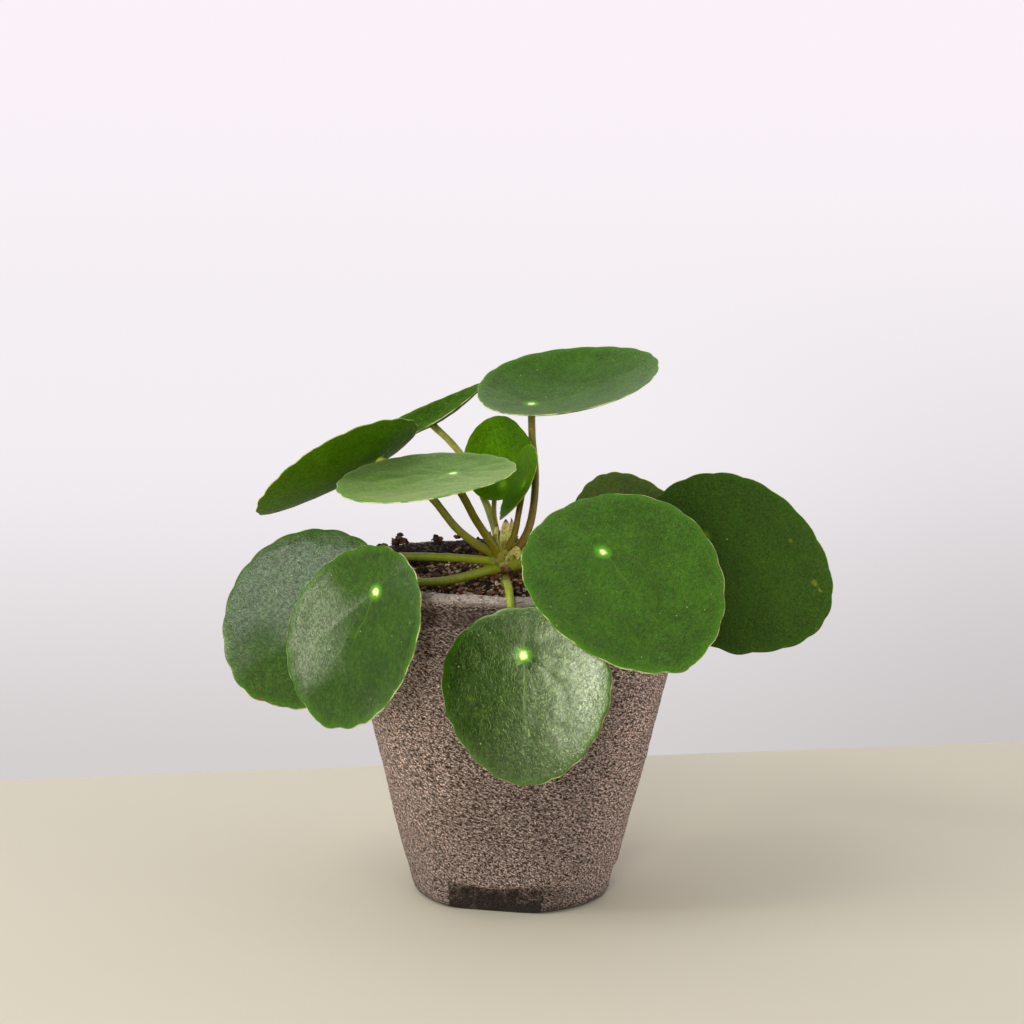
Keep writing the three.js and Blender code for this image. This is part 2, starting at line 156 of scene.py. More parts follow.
half_outline = [
    (4, 0),
    (FOOT_LOW_RADIUS - 3.4, 0),
    (FOOT_LOW_RADIUS - 0.8, 0.8),
    (FOOT_LOW_RADIUS, 3.0),
    (FOOT_RADIUS, STEP_HEIGHT - 1.4),
    (STEP_RADIUS + 0.1, STEP_HEIGHT + 1.2),
    (wall_radius(BAND_LOW - 1), BAND_LOW - 1),
    (wall_radius(BAND_LOW) - BAND_DEPTH, BAND_LOW + 0.4),
    (wall_radius(POT_HEIGHT - LIP_DROP) - BAND_DEPTH, POT_HEIGHT - LIP_DROP - 0.3),
    (RIM_RADIUS + 0.1, POT_HEIGHT - LIP_DROP + 0.7),
    (RIM_RADIUS + 0.4, POT_HEIGHT - 1.6),
    (RIM_RADIUS - 0.7, POT_HEIGHT - 0.1),
    (RIM_RADIUS - 2.4, POT_HEIGHT - 0.1),
    (RIM_RADIUS - POT_WALL - 0.3, POT_HEIGHT - 1.8),
    (wall_radius(BURIED_BELOW) - POT_WALL, BURIED_BELOW),
    (wall_radius(STEP_HEIGHT + 3) - POT_WALL, STEP_HEIGHT + 3),
    (FOOT_RADIUS - POT_WALL - 0.8, STEP_HEIGHT - 1),
    (FOOT_RADIUS - POT_WALL - 1.2, POT_FLOOR + 0.4),
    (FOOT_RADIUS - POT_WALL - 3, POT_FLOOR),
    (4, POT_FLOOR),
]
outline = spaced(rounded(half_outline, 2), POT_SPACING)
# Three in four rings of the buried wall are left out
buried = np.nonzero(np.diff(outline[:, 1]) < 0)[0]
buried = buried[outline[buried, 1] < BURIED_BELOW]
keep = np.ones(len(outline), bool)
keep[buried[np.arange(len(buried)) % 4 != 0]] = False
outline = outline[keep]
inner = np.arange(len(outline)) > np.argmax(outline[:, 1])
angles = np.linspace(-math.pi / 2, 1.5 * math.pi, POT_COLUMNS, endpoint=False)
radii = np.repeat(outline[:, :1], POT_COLUMNS, 1)
heights = np.repeat(outline[:, 1:], POT_COLUMNS, 1)
for notch in NOTCH_ANGLES:
    away = turned_from(notch, angles)
    flat = (NOTCH_REACH - np.where(inner, POT_WALL, 0))[:, None] / np.maximum(np.cos(away), 0.3)[None]
    roof = NOTCH_HEIGHT + np.where(inner, 2.0, 0)[:, None]
    sag = 1.3 * np.cos(away * 2.1) ** 2 - 0.8
    cut = np.clip((roof + 0.9 - sag - heights) / 1.9, 0, 1)
    cut = cut * cut * (3 - 2 * cut)
    near = (np.abs(away) < 1.1)[None] & (radii > flat)
    radii = np.where(near, radii + (flat - radii) * cut, radii)
slit_angle, slit_height, slit_half = DRAIN_SLIT
away = turned_from(slit_angle, angles)
slit = np.exp(-((away[None] * NOTCH_REACH / 0.5) ** 2) - ((heights - slit_height) / slit_half) ** 4)
radii = radii - 0.9 * slit * ~inner[:, None]
rings = np.stack([radii * np.cos(angles), radii * np.sin(angles), heights], 2)
lip = np.clip((heights - (POT_HEIGHT - LIP_DROP)) / 2, 0, 1)
bump = 0.35 * rough(rings, 26, 1) + (0.2 + 0.75 * lip) * rough(rings, 3.2, 2, 3)
for ring_height in MOULD_RINGS:
    groove = np.exp(-(((heights - ring_height) / 0.45) ** 2))
    worn = np.clip(rough(rings * [1, 1, 0.2], 14, ring_height) + 0.25, 0, 1)
    bump -= 0.22 * groove * worn * ~inner[:, None]
steady = np.clip(heights / 3, 0, 1) * np.where(inner & (outline[:, 1] < 100), 0, 1)[:, None]
rings[..., :2] *= (1 + bump * steady / radii)[..., None]
rings[..., 2] += lip * (0.4 * rough(rings, 9, 3) + 0.45 * rough(rings, 2.6, 4))
around = np.linspace(0, 2 * math.pi, POT_COLUMNS + 1) * MEAN_RADIUS
along = np.concatenate([[0], np.cumsum(np.linalg.norm(np.diff(outline, axis=0), axis=1))])
wrapped = np.stack(np.meshgrid(around, along), 2)
pot = skin("pot_fibre", rings, (0, 0, 0), (0, 0, POT_FLOOR), wrapped)


def material(name, roughness, **uniform):
    """A new material; the named sockets of its shader get one value all over."""
    made = bpy.data.materials.new(name)
    made.use_nodes = True
    shader = made.node_tree.nodes["Principled BSDF"]
    shader.inputs["Roughness"].default_value = roughness
    for socket, value in uniform.items():
        shader.inputs[socket.replace("_", " ")].default_value = value
    return made.node_tree, shader


def wear(piece, name):
    """Gives the piece the material of this name."""
    piece.data.materials.append(bpy.data.materials[name])


def add(tree, kind, settings=(), **inputs):
    """A new shader node. An input, by its name or as _ and its number, is given a value or an output."""
    node = tree.nodes.new("ShaderNode" + kind)
    for key, value in dict(settings).items():
        setattr(node, key, value)
    for key, value in inputs.items():
        socket = node.inputs[int(key[1:])] if key[1:].isdigit() else node.inputs[key.replace("_", " ")]
        if isinstance(value, bpy.types.NodeSocket):
            tree.links.new(value, socket)
        else:
            socket.default_value = value
    return node


def ramp(value, low, high, start=0.0, end=1.0, smooth=True):
    """The value's way from low to high, as a number from start to end."""
    kind = {"interpolation_type": "SMOOTHSTEP" if smooth else "LINEAR"}
    ends = {"From_Min": low, "From_Max": high, "To_Min": start, "To_Max": end}
    return add(value.id_data, "MapRange", kind, Value=value, **ends).outputs["Result"]


def tree_of(*values):
    """The shader tree that the first output among the values belongs to."""
    return next(value.id_data for value in values if isinstance(value, bpy.types.NodeSocket))


def maths(operation, a, b=0.0, c=0.0):
    """The result of one sum on values or outputs."""
    return add(tree_of(a, b, c), "Math", {"operation": operation}, _0=a, _1=b, _2=c).outputs[0]


def times(a, b):
    return maths("MULTIPLY", a, b)


def plus(a, b):
    return maths("ADD", a, b)


def minus(a, b):
    return maths("SUBTRACT", a, b)


def blend(mask, a, b, mode="MIX"):
    """Colour a where the mask is 0 and b where it is 1."""
    kind = {"data_type": "RGBA", "blend_type": mode}
    return add(tree_of(mask, a, b), "Mix", kind, _0=mask, _6=a, _7=b).outputs[2]


def noise_at(place, scale, detail=2.0, roughness=0.5, twist=0.0):
    """Cloudy noise from 0 to 1 at the place."""
    form = {"Scale": scale, "Detail": detail, "Roughness": roughness, "Distortion": twist}
    return add(place.id_data, "TexNoise", Vector=place, **form).outputs["Fac"]


def cells(place, scale):
    """Cells round scattered points, with the distance from the point and a colour of its own for each."""
    return add(place.id_data, "TexVoronoi", Vector=place, Scale=scale).outputs


def split(vector):
    """The three numbers of a vector, as outputs X, Y and Z."""
    return add(vector.id_data, "SeparateXYZ", Vector=vector).outputs


def stretched(place, scale, turn=0.0):
    """The place in a frame that is stretched, and turned by this many degrees."""
    turn = (0, 0, math.radians(turn))
    return add(place.id_data, "Mapping", Vector=place, Rotation=turn, Scale=scale).outputs["Vector"]


def new_group(name, inputs, outputs):
    """An empty shader node group with the named inputs and outputs."""
    tree = bpy.data.node_groups.new(name, "ShaderNodeTree")
    for way, sockets in (("INPUT", inputs), ("OUTPUT", outputs)):
        for socket, kind in sockets.items():
            tree.interface.new_socket(socket, in_out=way, socket_type="NodeSocket" + kind)
    return tree, tree.nodes.new("NodeGroupInput").outputs, tree.nodes.new("NodeGroupOutput")


def marked(tree, name):
    """The three numbers that mark stored on the piece, as outputs X, Y and Z."""
    stored = add(tree, "Attribute", {"attribute_name": name}).outputs["Vector"]
    return split(stored)


def dress(shader, colour, height, depth, strength=1.0):
    """Gives a material its colour, and a surface relief this deep, in metres."""
    tree = shader.id_data
    tree.links.new(colour, shader.inputs["Base Color"])
    relief = add(tree, "Bump", Height=height, Strength=strength, Distance=depth)
    tree.links.new(relief.outputs["Normal"], shader.inputs["Normal"])


def rgb(*values):
    """A colour from the 0 to 255 values that a screen shows."""
    parts = [v / 255 for v in values]
    return (*[p / 12.92 if p <= 0.04045 else ((p + 0.055) / 1.055) ** 2.4 for p in parts], 1.0)


# Fibre flecks: short dark and pale fibres pressed together, used on the pot and on the bed of soil
fleck_tree, given, out = new_group(
    "fibre flecks",
    {"Place": "Vector", "Size": "Float", "Base": "Color", "Dark": "Color", "Pale": "Color"},
    {"Color": "Color", "Height": "Float"},
)
per_fleck = maths("DIVIDE", 1.0, given["Size"])
pits = noise_at(given["Place"], per_fleck, 3.0, 0.6)
fibres = noise_at(given["Place"], times(per_fleck, 2.3), 2.0)
patches = noise_at(given["Place"], times(per_fleck, 0.12), 3.0)
colour = blend(ramp(pits, 0.5, 0.66), given["Base"], given["Pale"])
colour = blend(ramp(pits, 0.47, 0.33), colour, given["Dark"])
colour = blend(ramp(fibres, 0.58, 0.74, 0, 0.7), colour, given["Pale"])
colour = blend(ramp(patches, 0.35, 0.7, 0, 0.15), colour, given["Dark"])
fleck_tree.links.new(colour, out.inputs["Color"])
hollows = ramp(pits, 0.3, 0.62)
height = plus(hollows, times(fibres, 0.4))
fleck_tree.links.new(height, out.inputs["Height"])


def flecks(place, size, base, dark, pale):
    """The fibre flecks at the place, as outputs Color and Height."""
    kind = {"node_tree": fleck_tree}
    return add(place.id_data, "Group", kind, Place=place, Size=size, Base=base, Dark=dark, Pale=pale).outputs


# Where the pot is dirty or shaded: soil rubbed into the inner wall, painted shade in the notches
# and beside the front one, and grey dust on the inner wall at the left
outside = np.broadcast_to(~inner[:, None], radii.shape)
back = np.clip((rings[..., 1] + 8) / 30, 0, 1)
soiled = np.clip((RIM_RADIUS - 1.5 - radii) / 0.8 + 0.8 * rough(rings, 3, 12, 3), 0, 1) * back * ~outside
# Painted shade in the recessed notches, darker towards the bottom
deep = np.hypot(rings[..., 0], rings[..., 1]) < FOOT_LOW_RADIUS - 1.2 + 0.04 * heights
notch_shade = outside & deep & (heights < NOTCH_HEIGHT + 1)
notch_shade = notch_shade * np.clip(1.3 - 0.75 * heights / NOTCH_HEIGHT + 0.7 * rough(rings, 4, 14, 3), 0.45, 1)
notch_shade = notch_shade * np.clip((NOTCH_HEIGHT + 0.4 - heights) / 2.2 + 0.5 * rough(rings, 3, 15), 0, 1)
grey = np.where(outside, 0, np.clip(-rings[..., 0] / 20 - 1, 0, 1) * np.clip(1.4 - back, 0, 1))
direction = np.degrees(np.arctan2(rings[..., 1], rings[..., 0]))
shade_away = (direction - FOOT_SHADE_AT) / FOOT_SHADE_SPREAD
beside = 0.62 * np.exp(-(shade_away**2))
beside = beside * np.clip((10.2 - heights) / 2.4 + 0.5 * rough(rings, 4, 16), 0, 1)
below = 0.9 * np.exp(-((shade_away / 2) ** 2)) * np.clip(1.1 - heights / 3.5, 0, 1)
foot_shade = np.maximum(beside, below) * outside
notch_shade = np.maximum(notch_shade, foot_shade)
dirt_and_shade = np.stack([soiled, notch_shade, grey], 2).reshape(-1, 3)
mark(pot, "dirt_and_shade", np.vstack([dirt_and_shade, [(0, 1, 0), (0, 0, 0)]]))
# Painted light: the wall is painted paler everywhere but in front, as if lit from the sides, while
# the front keeps a darker tone, shaded by the leaves; a painted highlight lies on the ledge over the front
# notch
aside = np.abs(turned_from(SHADED_FRONT, angles))
side_light = np.clip((np.degrees(aside)[None] - 24) / 36 + 0.25 * rough(rings, 18, 18), 0, 1) * outside
side_light = side_light * np.clip((heights - 10 + 26 * np.clip(np.cos(angles), 0, 1)) / 30, 0.0, 1)
lit_ledge = np.exp(-(((heights - NOTCH_HEIGHT - 2.2 + 0.8 * rough(rings, 8, 19)) / 1.1) ** 2))
lit_ledge = 0.5 * lit_ledge * outside * np.exp(-(shade_away**2))
painted_light = np.stack([side_light, lit_ledge, side_light], 2).reshape(-1, 3)
mark(pot, "painted_light", np.vstack([painted_light, np.zeros((2, 3))]))

fuzz = {"Sheen_Weight": 0.12, "Sheen_Roughness": 0.4, "Sheen_Tint": rgb(226, 206, 190)}
tree, shader = material("moulded wood fibre", 0.95, Specular_IOR_Level=0.2, **fuzz)
wrap = add(tree, "UVMap", {"uv_map": "wrap"}).outputs["UV"]
drift = add(tree, "TexNoise", Vector=wrap, Scale=0.04, Detail=1.0).outputs["Color"]
wrap = add(tree, "VectorMath", {"operation": "MULTIPLY_ADD"}, _0=drift, _1=(4, 4, 0), _2=wrap).outputs[0]
slant = stretched(wrap, (0.72, 1.2, 1), 36)
fleck = flecks(slant, 0.5, rgb(174, 151, 144), rgb(78, 61, 53), rgb(214, 194, 187))
# Longer fibres lie beside each other in strokes that turn slowly over the wall
strokes = noise_at(stretched(slant, (0.85, 1.35, 1)), 1.0, 3.0, 0.62, twist=0.5)
fibrous = blend(ramp(strokes, 0.39, 0.53), rgb(74, 56, 48), fleck["Color"])
fibrous = blend(ramp(strokes, 0.54, 0.68, 0, 0.6), fibrous, rgb(222, 202, 194))
grain = ramp(noise_at(slant, 2.0, 2.0, 0.65), 0.36, 0.64, 0.5, 1.46)
fibrous = blend(1.0, fibrous, grain, "MULTIPLY")
# The wire mesh of the mould left rows of pits; a few larger holes and dark specks lie between them
weave = cells(slant, 1.05)["Distance"]
pit = times(ramp(weave, 0.4, 0.24), ramp(strokes, 0.62, 0.46, 0.2, 1))
hole = ramp(cells(slant, 0.34)["Distance"], 0.18, 0.1)
rows = ramp(noise_at(stretched(wrap, (0.12, 1.0, 1)), 0.95, 2.0), 0.52, 0.62, 0, 0.42)
level = split(add(tree, "TexCoord").outputs["Object"])["Z"]
dirt_and_shade = marked(tree, "dirt_and_shade")
from_rows = maths("ABSOLUTE", minus(level, MOULD_ROWS_AT * MM))
lined = ramp(from_rows, 22 * MM, 6 * MM)
colour = blend(times(rows, lined), fibrous, rgb(70, 54, 48))
colour = blend(times(pit, 0.92), colour, rgb(44, 32, 28))
colour = blend(hole, colour, rgb(40, 29, 26))
# Painted light: the sides are made paler, and the ledge over the front notch gets a painted highlight
painted_light = marked(tree, "painted_light")
paler = plus(painted_light["X"], times(painted_light["Y"], 0.8))
paler = ramp(paler, 0.0, 1.0, 1.1, 1.84, smooth=False)
colour = blend(1.0, colour, paler, "MULTIPLY")
shade = ramp(level, 0.0, 5 * MM, 0.35, 0.0)
colour = blend(shade, colour, rgb(66, 53, 46))
# Painted shadow: the pale lip throws a painted dark line on the band below it; the band also has
# darker blotches
wander = maths("MULTIPLY_ADD", noise_at(wrap, 0.1, 3.0), 3.2 * MM, level)
under_lip = ramp(wander, (POT_HEIGHT - 4.6) * MM, (POT_HEIGHT - 2.6) * MM, 0.55, 0.0)
on_band = ramp(wander, (BAND_LOW - 1.5) * MM, (BAND_LOW + 3.5) * MM)
under_lip = times(under_lip, on_band)
colour = blend(under_lip, colour, rgb(64, 49, 44))
blotch = ramp(noise_at(wrap, 0.2, 4.0, 0.6), 0.5, 0.64, 0, 0.62)
blotch = times(blotch, ramp(wander, (BAND_LOW - 8) * MM, BAND_LOW * MM))
colour = blend(blotch, colour, rgb(84, 62, 53))
# Painted highlight: the top of the lip is painted paler where the light falls on it, in patches
lip_glow = ramp(wander, (POT_HEIGHT - 2.4) * MM, (POT_HEIGHT - 1.0) * MM, 0.0, 0.8)
patchy_glow = ramp(noise_at(wrap, 0.5, 3.0, 0.6), 0.36, 0.56, 0.3, 1)
lip_glow = times(lip_glow, patchy_glow)
colour = blend(lip_glow, colour, rgb(234, 217, 209))
# Painted shade in the notches and beside the front one: the colour is darkened there
in_shade = blend(1.0, colour, (0.045, 0.037, 0.034, 1), "MULTIPLY")
colour = blend(times(dirt_and_shade["Y"], 0.96), colour, in_shade)
colour = blend(times(dirt_and_shade["Z"], 0.7), colour, rgb(168, 158, 164))
stain = blend(ramp(strokes, 0.48, 0.66), rgb(22, 17, 16), rgb(132, 114, 112))
colour = blend(times(dirt_and_shade["X"], 0.97), colour, stain)
raised = maths("MULTIPLY_ADD", strokes, 1.0, fleck["Height"])
sunk = times(plus(pit, hole), 1.1)
dress(shader, colour, minus(raised, sunk), 0.5 * MM)
wear(pot, "moulded wood fibre")
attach(pot, "root")
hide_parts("pot")


# Soil. Loose peat potting mix, filled in to just under the lip and pressed down by hand. It has
# crumbs of peat, chips of bark and wood fibre and a few white grains, some of them on the lip.
SOIL_CENTRE = 104.4
SOIL_EDGE = 102.2
SOIL_RADIUS = 53.6
SOIL_DEPTH = 22.0
SOIL_RINGS = 46
SOIL_COLUMNS = 150
TRUNK_AT = np.array([-2.6, 0.0])
CRUMBS, STUCK_CRUMBS, HEAPED_CRUMBS = 1900, 260, 240
draw = random.Random(11)


def polar(radius, turn):
    """The place at this distance from the axis, in this direction in radians."""
    return radius * math.cos(turn), radius * math.sin(turn)


def soil_level(x, y):
    """Height of the pressed soil at a place."""
    share = min(1.0, math.hypot(x, y) / SOIL_RADIUS)
    lumps = noise.fractal(Vector((x, y, 3)) / 7, 1.0, 2.0, 4)
    away = math.hypot(x - TRUNK_AT[0], y - TRUNK_AT[1]) / 8
    heap = 1.7 * math.exp(-(away**4))
    return SOIL_CENTRE + (SOIL_EDGE - SOIL_CENTRE) * share**2 + 0.9 * lumps + heap


angles = np.linspace(0, 2 * math.pi, SOIL_COLUMNS, endpoint=False)
rings = []
low_radius = SOIL_RADIUS - 0.24 * SOIL_DEPTH
for level in np.linspace(SOIL_EDGE - SOIL_DEPTH, SOIL_EDGE - 2, 5):
    radius = low_radius + (SOIL_RADIUS - low_radius) * (level - SOIL_EDGE + SOIL_DEPTH) / SOIL_DEPTH
    rings.append([(*polar(radius, a), level) for a in angles])
for radius in np.linspace(SOIL_RADIUS, 1.2, SOIL_RINGS):
    rings.append([(x, y, soil_level(x, y)) for x, y in (polar(radius, a) for a in angles)])
bed = skin("soil_bed", np.array(rings), (0, 0, SOIL_EDGE - SOIL_DEPTH), (0, 0, soil_level(0, 0)))


def grain_ball(cuts):
    """Points and triangles of a ball, which is squashed and roughened to make a grain."""
    shape = bmesh.new()
    bmesh.ops.create_icosphere(shape, subdivisions=cuts, radius=1)
    points = np.array([v.co for v in shape.verts])
    faces = np.array([[v.index for v in f.verts] for f in shape.faces])
    shape.free()
    return points, faces


SMALL_GRAIN, LARGE_GRAIN = grain_ball(1), grain_ball(2)
# Grains of this half size, in millimetres, are large
LARGE_FROM = 1.5
# A grain's kind is a number from 0 to 1, and these are the upper ends for peat, bark and pale chips
PEAT_TO, BARK_TO, CHIP_TO = 0.33, 0.6, 0.94
PEAT = [rgb(56, 41, 34), rgb(78, 57, 47), rgb(42, 31, 27), rgb(104, 76, 62)]
BARK = [rgb(150, 108, 82), rgb(118, 80, 60), rgb(172, 134, 106)]
BARK += [rgb(132, 84, 60), rgb(138, 74, 46), rgb(116, 58, 38)]
CHIP = [rgb(214, 188, 160), rgb(232, 214, 190), rgb(190, 160, 130), rgb(204, 176, 146)]
GRAIN = [rgb(206, 194, 182), rgb(176, 164, 154)]


def crumb(kind):
    """Half sizes in millimetres and colour of one grain: peat crumb, bark, pale chip or white grain."""
    if kind < PEAT_TO:
        size = 0.5 + 1.1 * draw.random() ** 2
        return (size, size * draw.uniform(0.6, 1), size * draw.uniform(0.5, 0.8)), draw.choice(PEAT)
    if kind < BARK_TO:
        size = draw.uniform(0.7, 2.0)
        return (size, size * draw.uniform(0.3, 0.6), size * draw.uniform(0.2, 0.4)), draw.choice(BARK)
    if kind < CHIP_TO:
        size = draw.uniform(0.5, 1.7)
        return (size, size * draw.uniform(0.3, 0.6), size * draw.uniform(0.2, 0.4)), draw.choice(CHIP)
    size = draw.uniform(0.4, 0.8)
    return (size, size, size * 0.8), draw.choice(GRAIN)


def scatter(name, places, lift, detail=False, kinds=(0.0, 1.0)):
    """Grains lying at the places, as one mesh with each grain's colour at its points. Large grains get
    more corners where detail is asked for, and kinds limits what the grains are."""
    points, faces, colours, total = [], [], [], 0
    for x, y, z in places:
        size, tint = crumb(draw.uniform(*kinds))
        ball, triangles = LARGE_GRAIN if detail and max(size) > LARGE_FROM else SMALL_GRAIN
        swing = Matrix.Rotation(draw.uniform(0, 2 * math.pi), 3, "Z")
        turn = swing @ Matrix.Rotation(draw.gauss(0, 0.4), 3, "Y")
        seed = draw.uniform(0, 99)
        body = ball * (1 + 0.28 * rough(ball[None], 0.9, seed)[0][:, None])
        body = (body * size) @ np.array(turn).T + (x, y, z + size[2] * lift)
        points.append(body)
        faces.append(triangles + total)
        colours.append(np.tile(tint[:3], (len(body), 1)))
        total += len(body)
    mesh = bpy.data.meshes.new(name)
    mesh.from_pydata(np.vstack(points) * MM, [], [f for part in faces for f in part.tolist()])
    piece = placed(name, mesh)
    mark(piece, "grain", np.vstack(colours))
    return piece


places = []
while len(places) < CRUMBS:
    radius = (SOIL_RADIUS - 0.6) * math.sqrt(draw.random())
    turn = draw.uniform(0, 2 * math.pi)
    x, y = polar(radius, turn)
    if math.hypot(x - TRUNK_AT[0], y - TRUNK_AT[1]) > 5.2:
        places.append((x, y, soil_level(x, y)))
crumbs = scatter("soil_crumbs", places, 0.35)
# The coarse chips that lie loose on top
places = [p for p in places if p[1] < 20 and draw.random() < (0.95 if p[1] < -15 else 0.5)]
chips = scatter("soil_chips", [(x + 1, y - 1, z + 0.5) for x, y, z in places], 0.7, True)
# Crumbs that were spilt on the lip, as [direction, half spread in degrees, number, height of heap]
SPILT = [(134, 3.2, 70, 2.8), (118.6, 1.4, 10, 0.8), (109.6, 2.2, 22, 1.7), (77, 1.4, 9, 0.7)]
SPILT += [(150, 9, 8, 0.3), (97, 8, 8, 0.3), (30, 20, 8, 0.3), (-150, 16, 6, 0.2)]
places = []
for direction, spread, number, heap in SPILT:
    for _ in range(number):
        off = draw.uniform(-1, 1)
        turn = math.radians(direction + off * spread)
        radius = RIM_RADIUS - 1.6 + draw.uniform(-1.3, 0.9)
        up = heap * (1 - off * off) * draw.random()
        places.append((*polar(radius, turn), POT_HEIGHT - 0.1 + up))
spilt = scatter("soil_on_lip", places, 0.7, kinds=(0.0, 0.44))
# Crumbs that stuck to the inner wall at the back
places = []
for _ in range(STUCK_CRUMBS):
    turn, up = math.radians(draw.uniform(20, 165)), draw.random() ** 1.4
    radius = wall_radius(103) - POT_WALL - 0.2 + 1.2 * up
    places.append((*polar(radius, turn), 102.4 + 6.2 * up))
stuck = scatter("soil_on_wall", places, 0, kinds=(0.0, 0.36))
# Reddish crumbs and rootlets that are heaped against the foot of the trunk
places = []
for _ in range(HEAPED_CRUMBS):
    turn, outward = draw.uniform(0, 2 * math.pi), draw.random()
    radius = 5.5 + 3.2 * outward
    x, y = TRUNK_AT + polar(radius, turn)
    places.append((x, y, soil_level(x, y) + 3.4 * (1 - outward) * draw.random()))
heaped = scatter("soil_at_trunk", places, 0.3, True, kinds=(0.22, 0.62))

tree, shader = material("potting mix", 0.95, Specular_IOR_Level=0.15)
place = add(tree, "TexCoord").outputs["Object"]
fleck = flecks(place, 1.3 * MM, rgb(52, 38, 31), rgb(20, 14, 12), rgb(104, 78, 60))
dress(shader, fleck["Color"], fleck["Height"], 0.8 * MM)
wear(bed, "potting mix")

tree, shader = material("crumbs and chips", 0.9, Specular_IOR_Level=0.2)
place = add(tree, "TexCoord").outputs["Object"]
tint = add(tree, "Attribute", {"attribute_name": "grain"}).outputs["Vector"]
grit = noise_at(place, 1 / (0.5 * MM), 3.0)
colour = blend(ramp(grit, 0.54, 0.36, 0, 0.7), tint, rgb(26, 18, 15))
dress(shader, colour, grit, 0.25 * MM, 0.8)
for piece in (crumbs, chips, spilt, stuck, heaped):
    wear(piece, "crumbs and chips")
for piece in (bed, crumbs, chips, spilt, stuck, heaped):
    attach(piece, "root")
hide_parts("soil")


# Trunk. The short woody stem that carries every leaf, rooted in the soil: brown and knobbly with old
# leaf scars below, green at the growing tip. Papery scales, which covered the young leaves, grow from
# it and stand between the stalks.
# Points of its middle line, each with the radius there
TRUNK = [
    (-2.6, 0, 91.5, 3.6),
    (-2.6, 0, 97, 4.6),
    (-2.6, -0.3, 104, 5.6),
    (-2.6, -0.3, 107.8, 5.6),
    (-3.1, -0.1, 110.8, 4.9),
    (-3.9, 0, 114, 4.2),
    (-4.7, 0.2, 117, 3.4),
    (-5.3, 0.5, 119.4, 2.5),
    (-5.6, 0.8, 121, 1.3),
]
TRUNK_SIDES = 64
SCAR_STEP = 2.4
GREEN_FROM = 109.5


def tube(line, radii, sides):
    """Rings of points round a line, one for each of its points, with the radius that each is given."""
    ways = np.gradient(line, axis=0)
    ways /= np.linalg.norm(ways, axis=1)[:, None]
    side = np.cross(ways[0], (0.0, 1.0, 0.1))
    rings = []
    for point, way, radius in zip(line, ways, radii):
        side = side - way * side.dot(way)
        side /= np.linalg.norm(side)
        other = np.cross(way, side)
        turn = np.linspace(0, 2 * math.pi, sides, endpoint=False)
        rings.append(point + radius * (np.cos(turn)[:, None] * side + np.sin(turn)[:, None] * other))
    return np.array(rings)


line = spaced(rounded(TRUNK, 3), 0.5)
rings = tube(line[:, :3], line[:, 3], TRUNK_SIDES)
scars = np.abs(np.sin(math.pi * (rings[..., 2] / SCAR_STEP + 0.35 * rough(rings, 5, 5))))
push = 0.35 * (scars - 0.6) + 0.45 * rough(rings, 2.6, 6, 3)
push *= np.clip((121.5 - rings[..., 2]) / 6, 0, 1)
centre = line[:, None, :3]
rings += (rings - centre) / line[:, None, 3:] * push[..., None]
trunk = skin("trunk_bark", rings, line[0, :3], line[-1, :3] + (0, 0, 0.5))
green = np.clip((rings[..., 2] - GREEN_FROM) / 6, 0, 1).reshape(-1)
green = np.concatenate([green, [0, 1]])
scars = np.concatenate([scars.reshape(-1), [0, 0]])
mark(trunk, "growth", np.stack([green, scars, green], 1))

tree, shader = material("young bark", 0.7, Specular_IOR_Level=0.35)
place = add(tree, "TexCoord").outputs["Object"]
growth = marked(tree, "growth")
cork = noise_at(place, 1 / (1.6 * MM), 4.0, 0.6)
colour = blend(ramp(cork, 0.35, 0.65), rgb(38, 21, 14), rgb(140, 88, 58))
colour = blend(ramp(growth["Y"], 0.35, 0.1), colour, rgb(48, 28, 16))
fresh = blend(ramp(cork, 0.4, 0.65), rgb(120, 112, 30), rgb(164, 160, 66))
colour = blend(ramp(growth["X"], 0.02, 0.25), colour, fresh)
dress(shader, colour, cork, 0.6 * MM)
wear(trunk, "young bark")

# Scales as [direction, height of foot, radius of foot, length, width, lean]
SCALES = [
    (165, 115.0, 2.6, 7.5, 5.4, 16),
    (-75, 116.6, 2.0, 10.4, 4.8, 3),
    (-30, 116.2, 1.9, 11.0, 4.6, 5),
    (-150, 115.6, 2.2, 9.6, 3.4, 2),
    (15, 116.5, 2.4, 9.5, 3.4, 12),
    (-160, 112, 3.6, 6.5, 3.4, 66),
    (-120, 111.6, 4.2, 4.4, 4.6, 55),
    (-22, 110.4, 3.6, 9.2, 9.0, 33),
    (-50, 111.2, 3.1, 8.0, 7.4, 25),
    (60, 113.5, 3.6, 6.0, 4.0, 48),
    (-80, 110.6, 4.2, 3.6, 5.0, 40),
]
SCALE_ROWS = 14
SCALE_COLUMNS = 10
SCALE_THICK = 0.35
# The trunk's middle at the scales' feet
SCALE_CENTRE = (-3.9, 0)


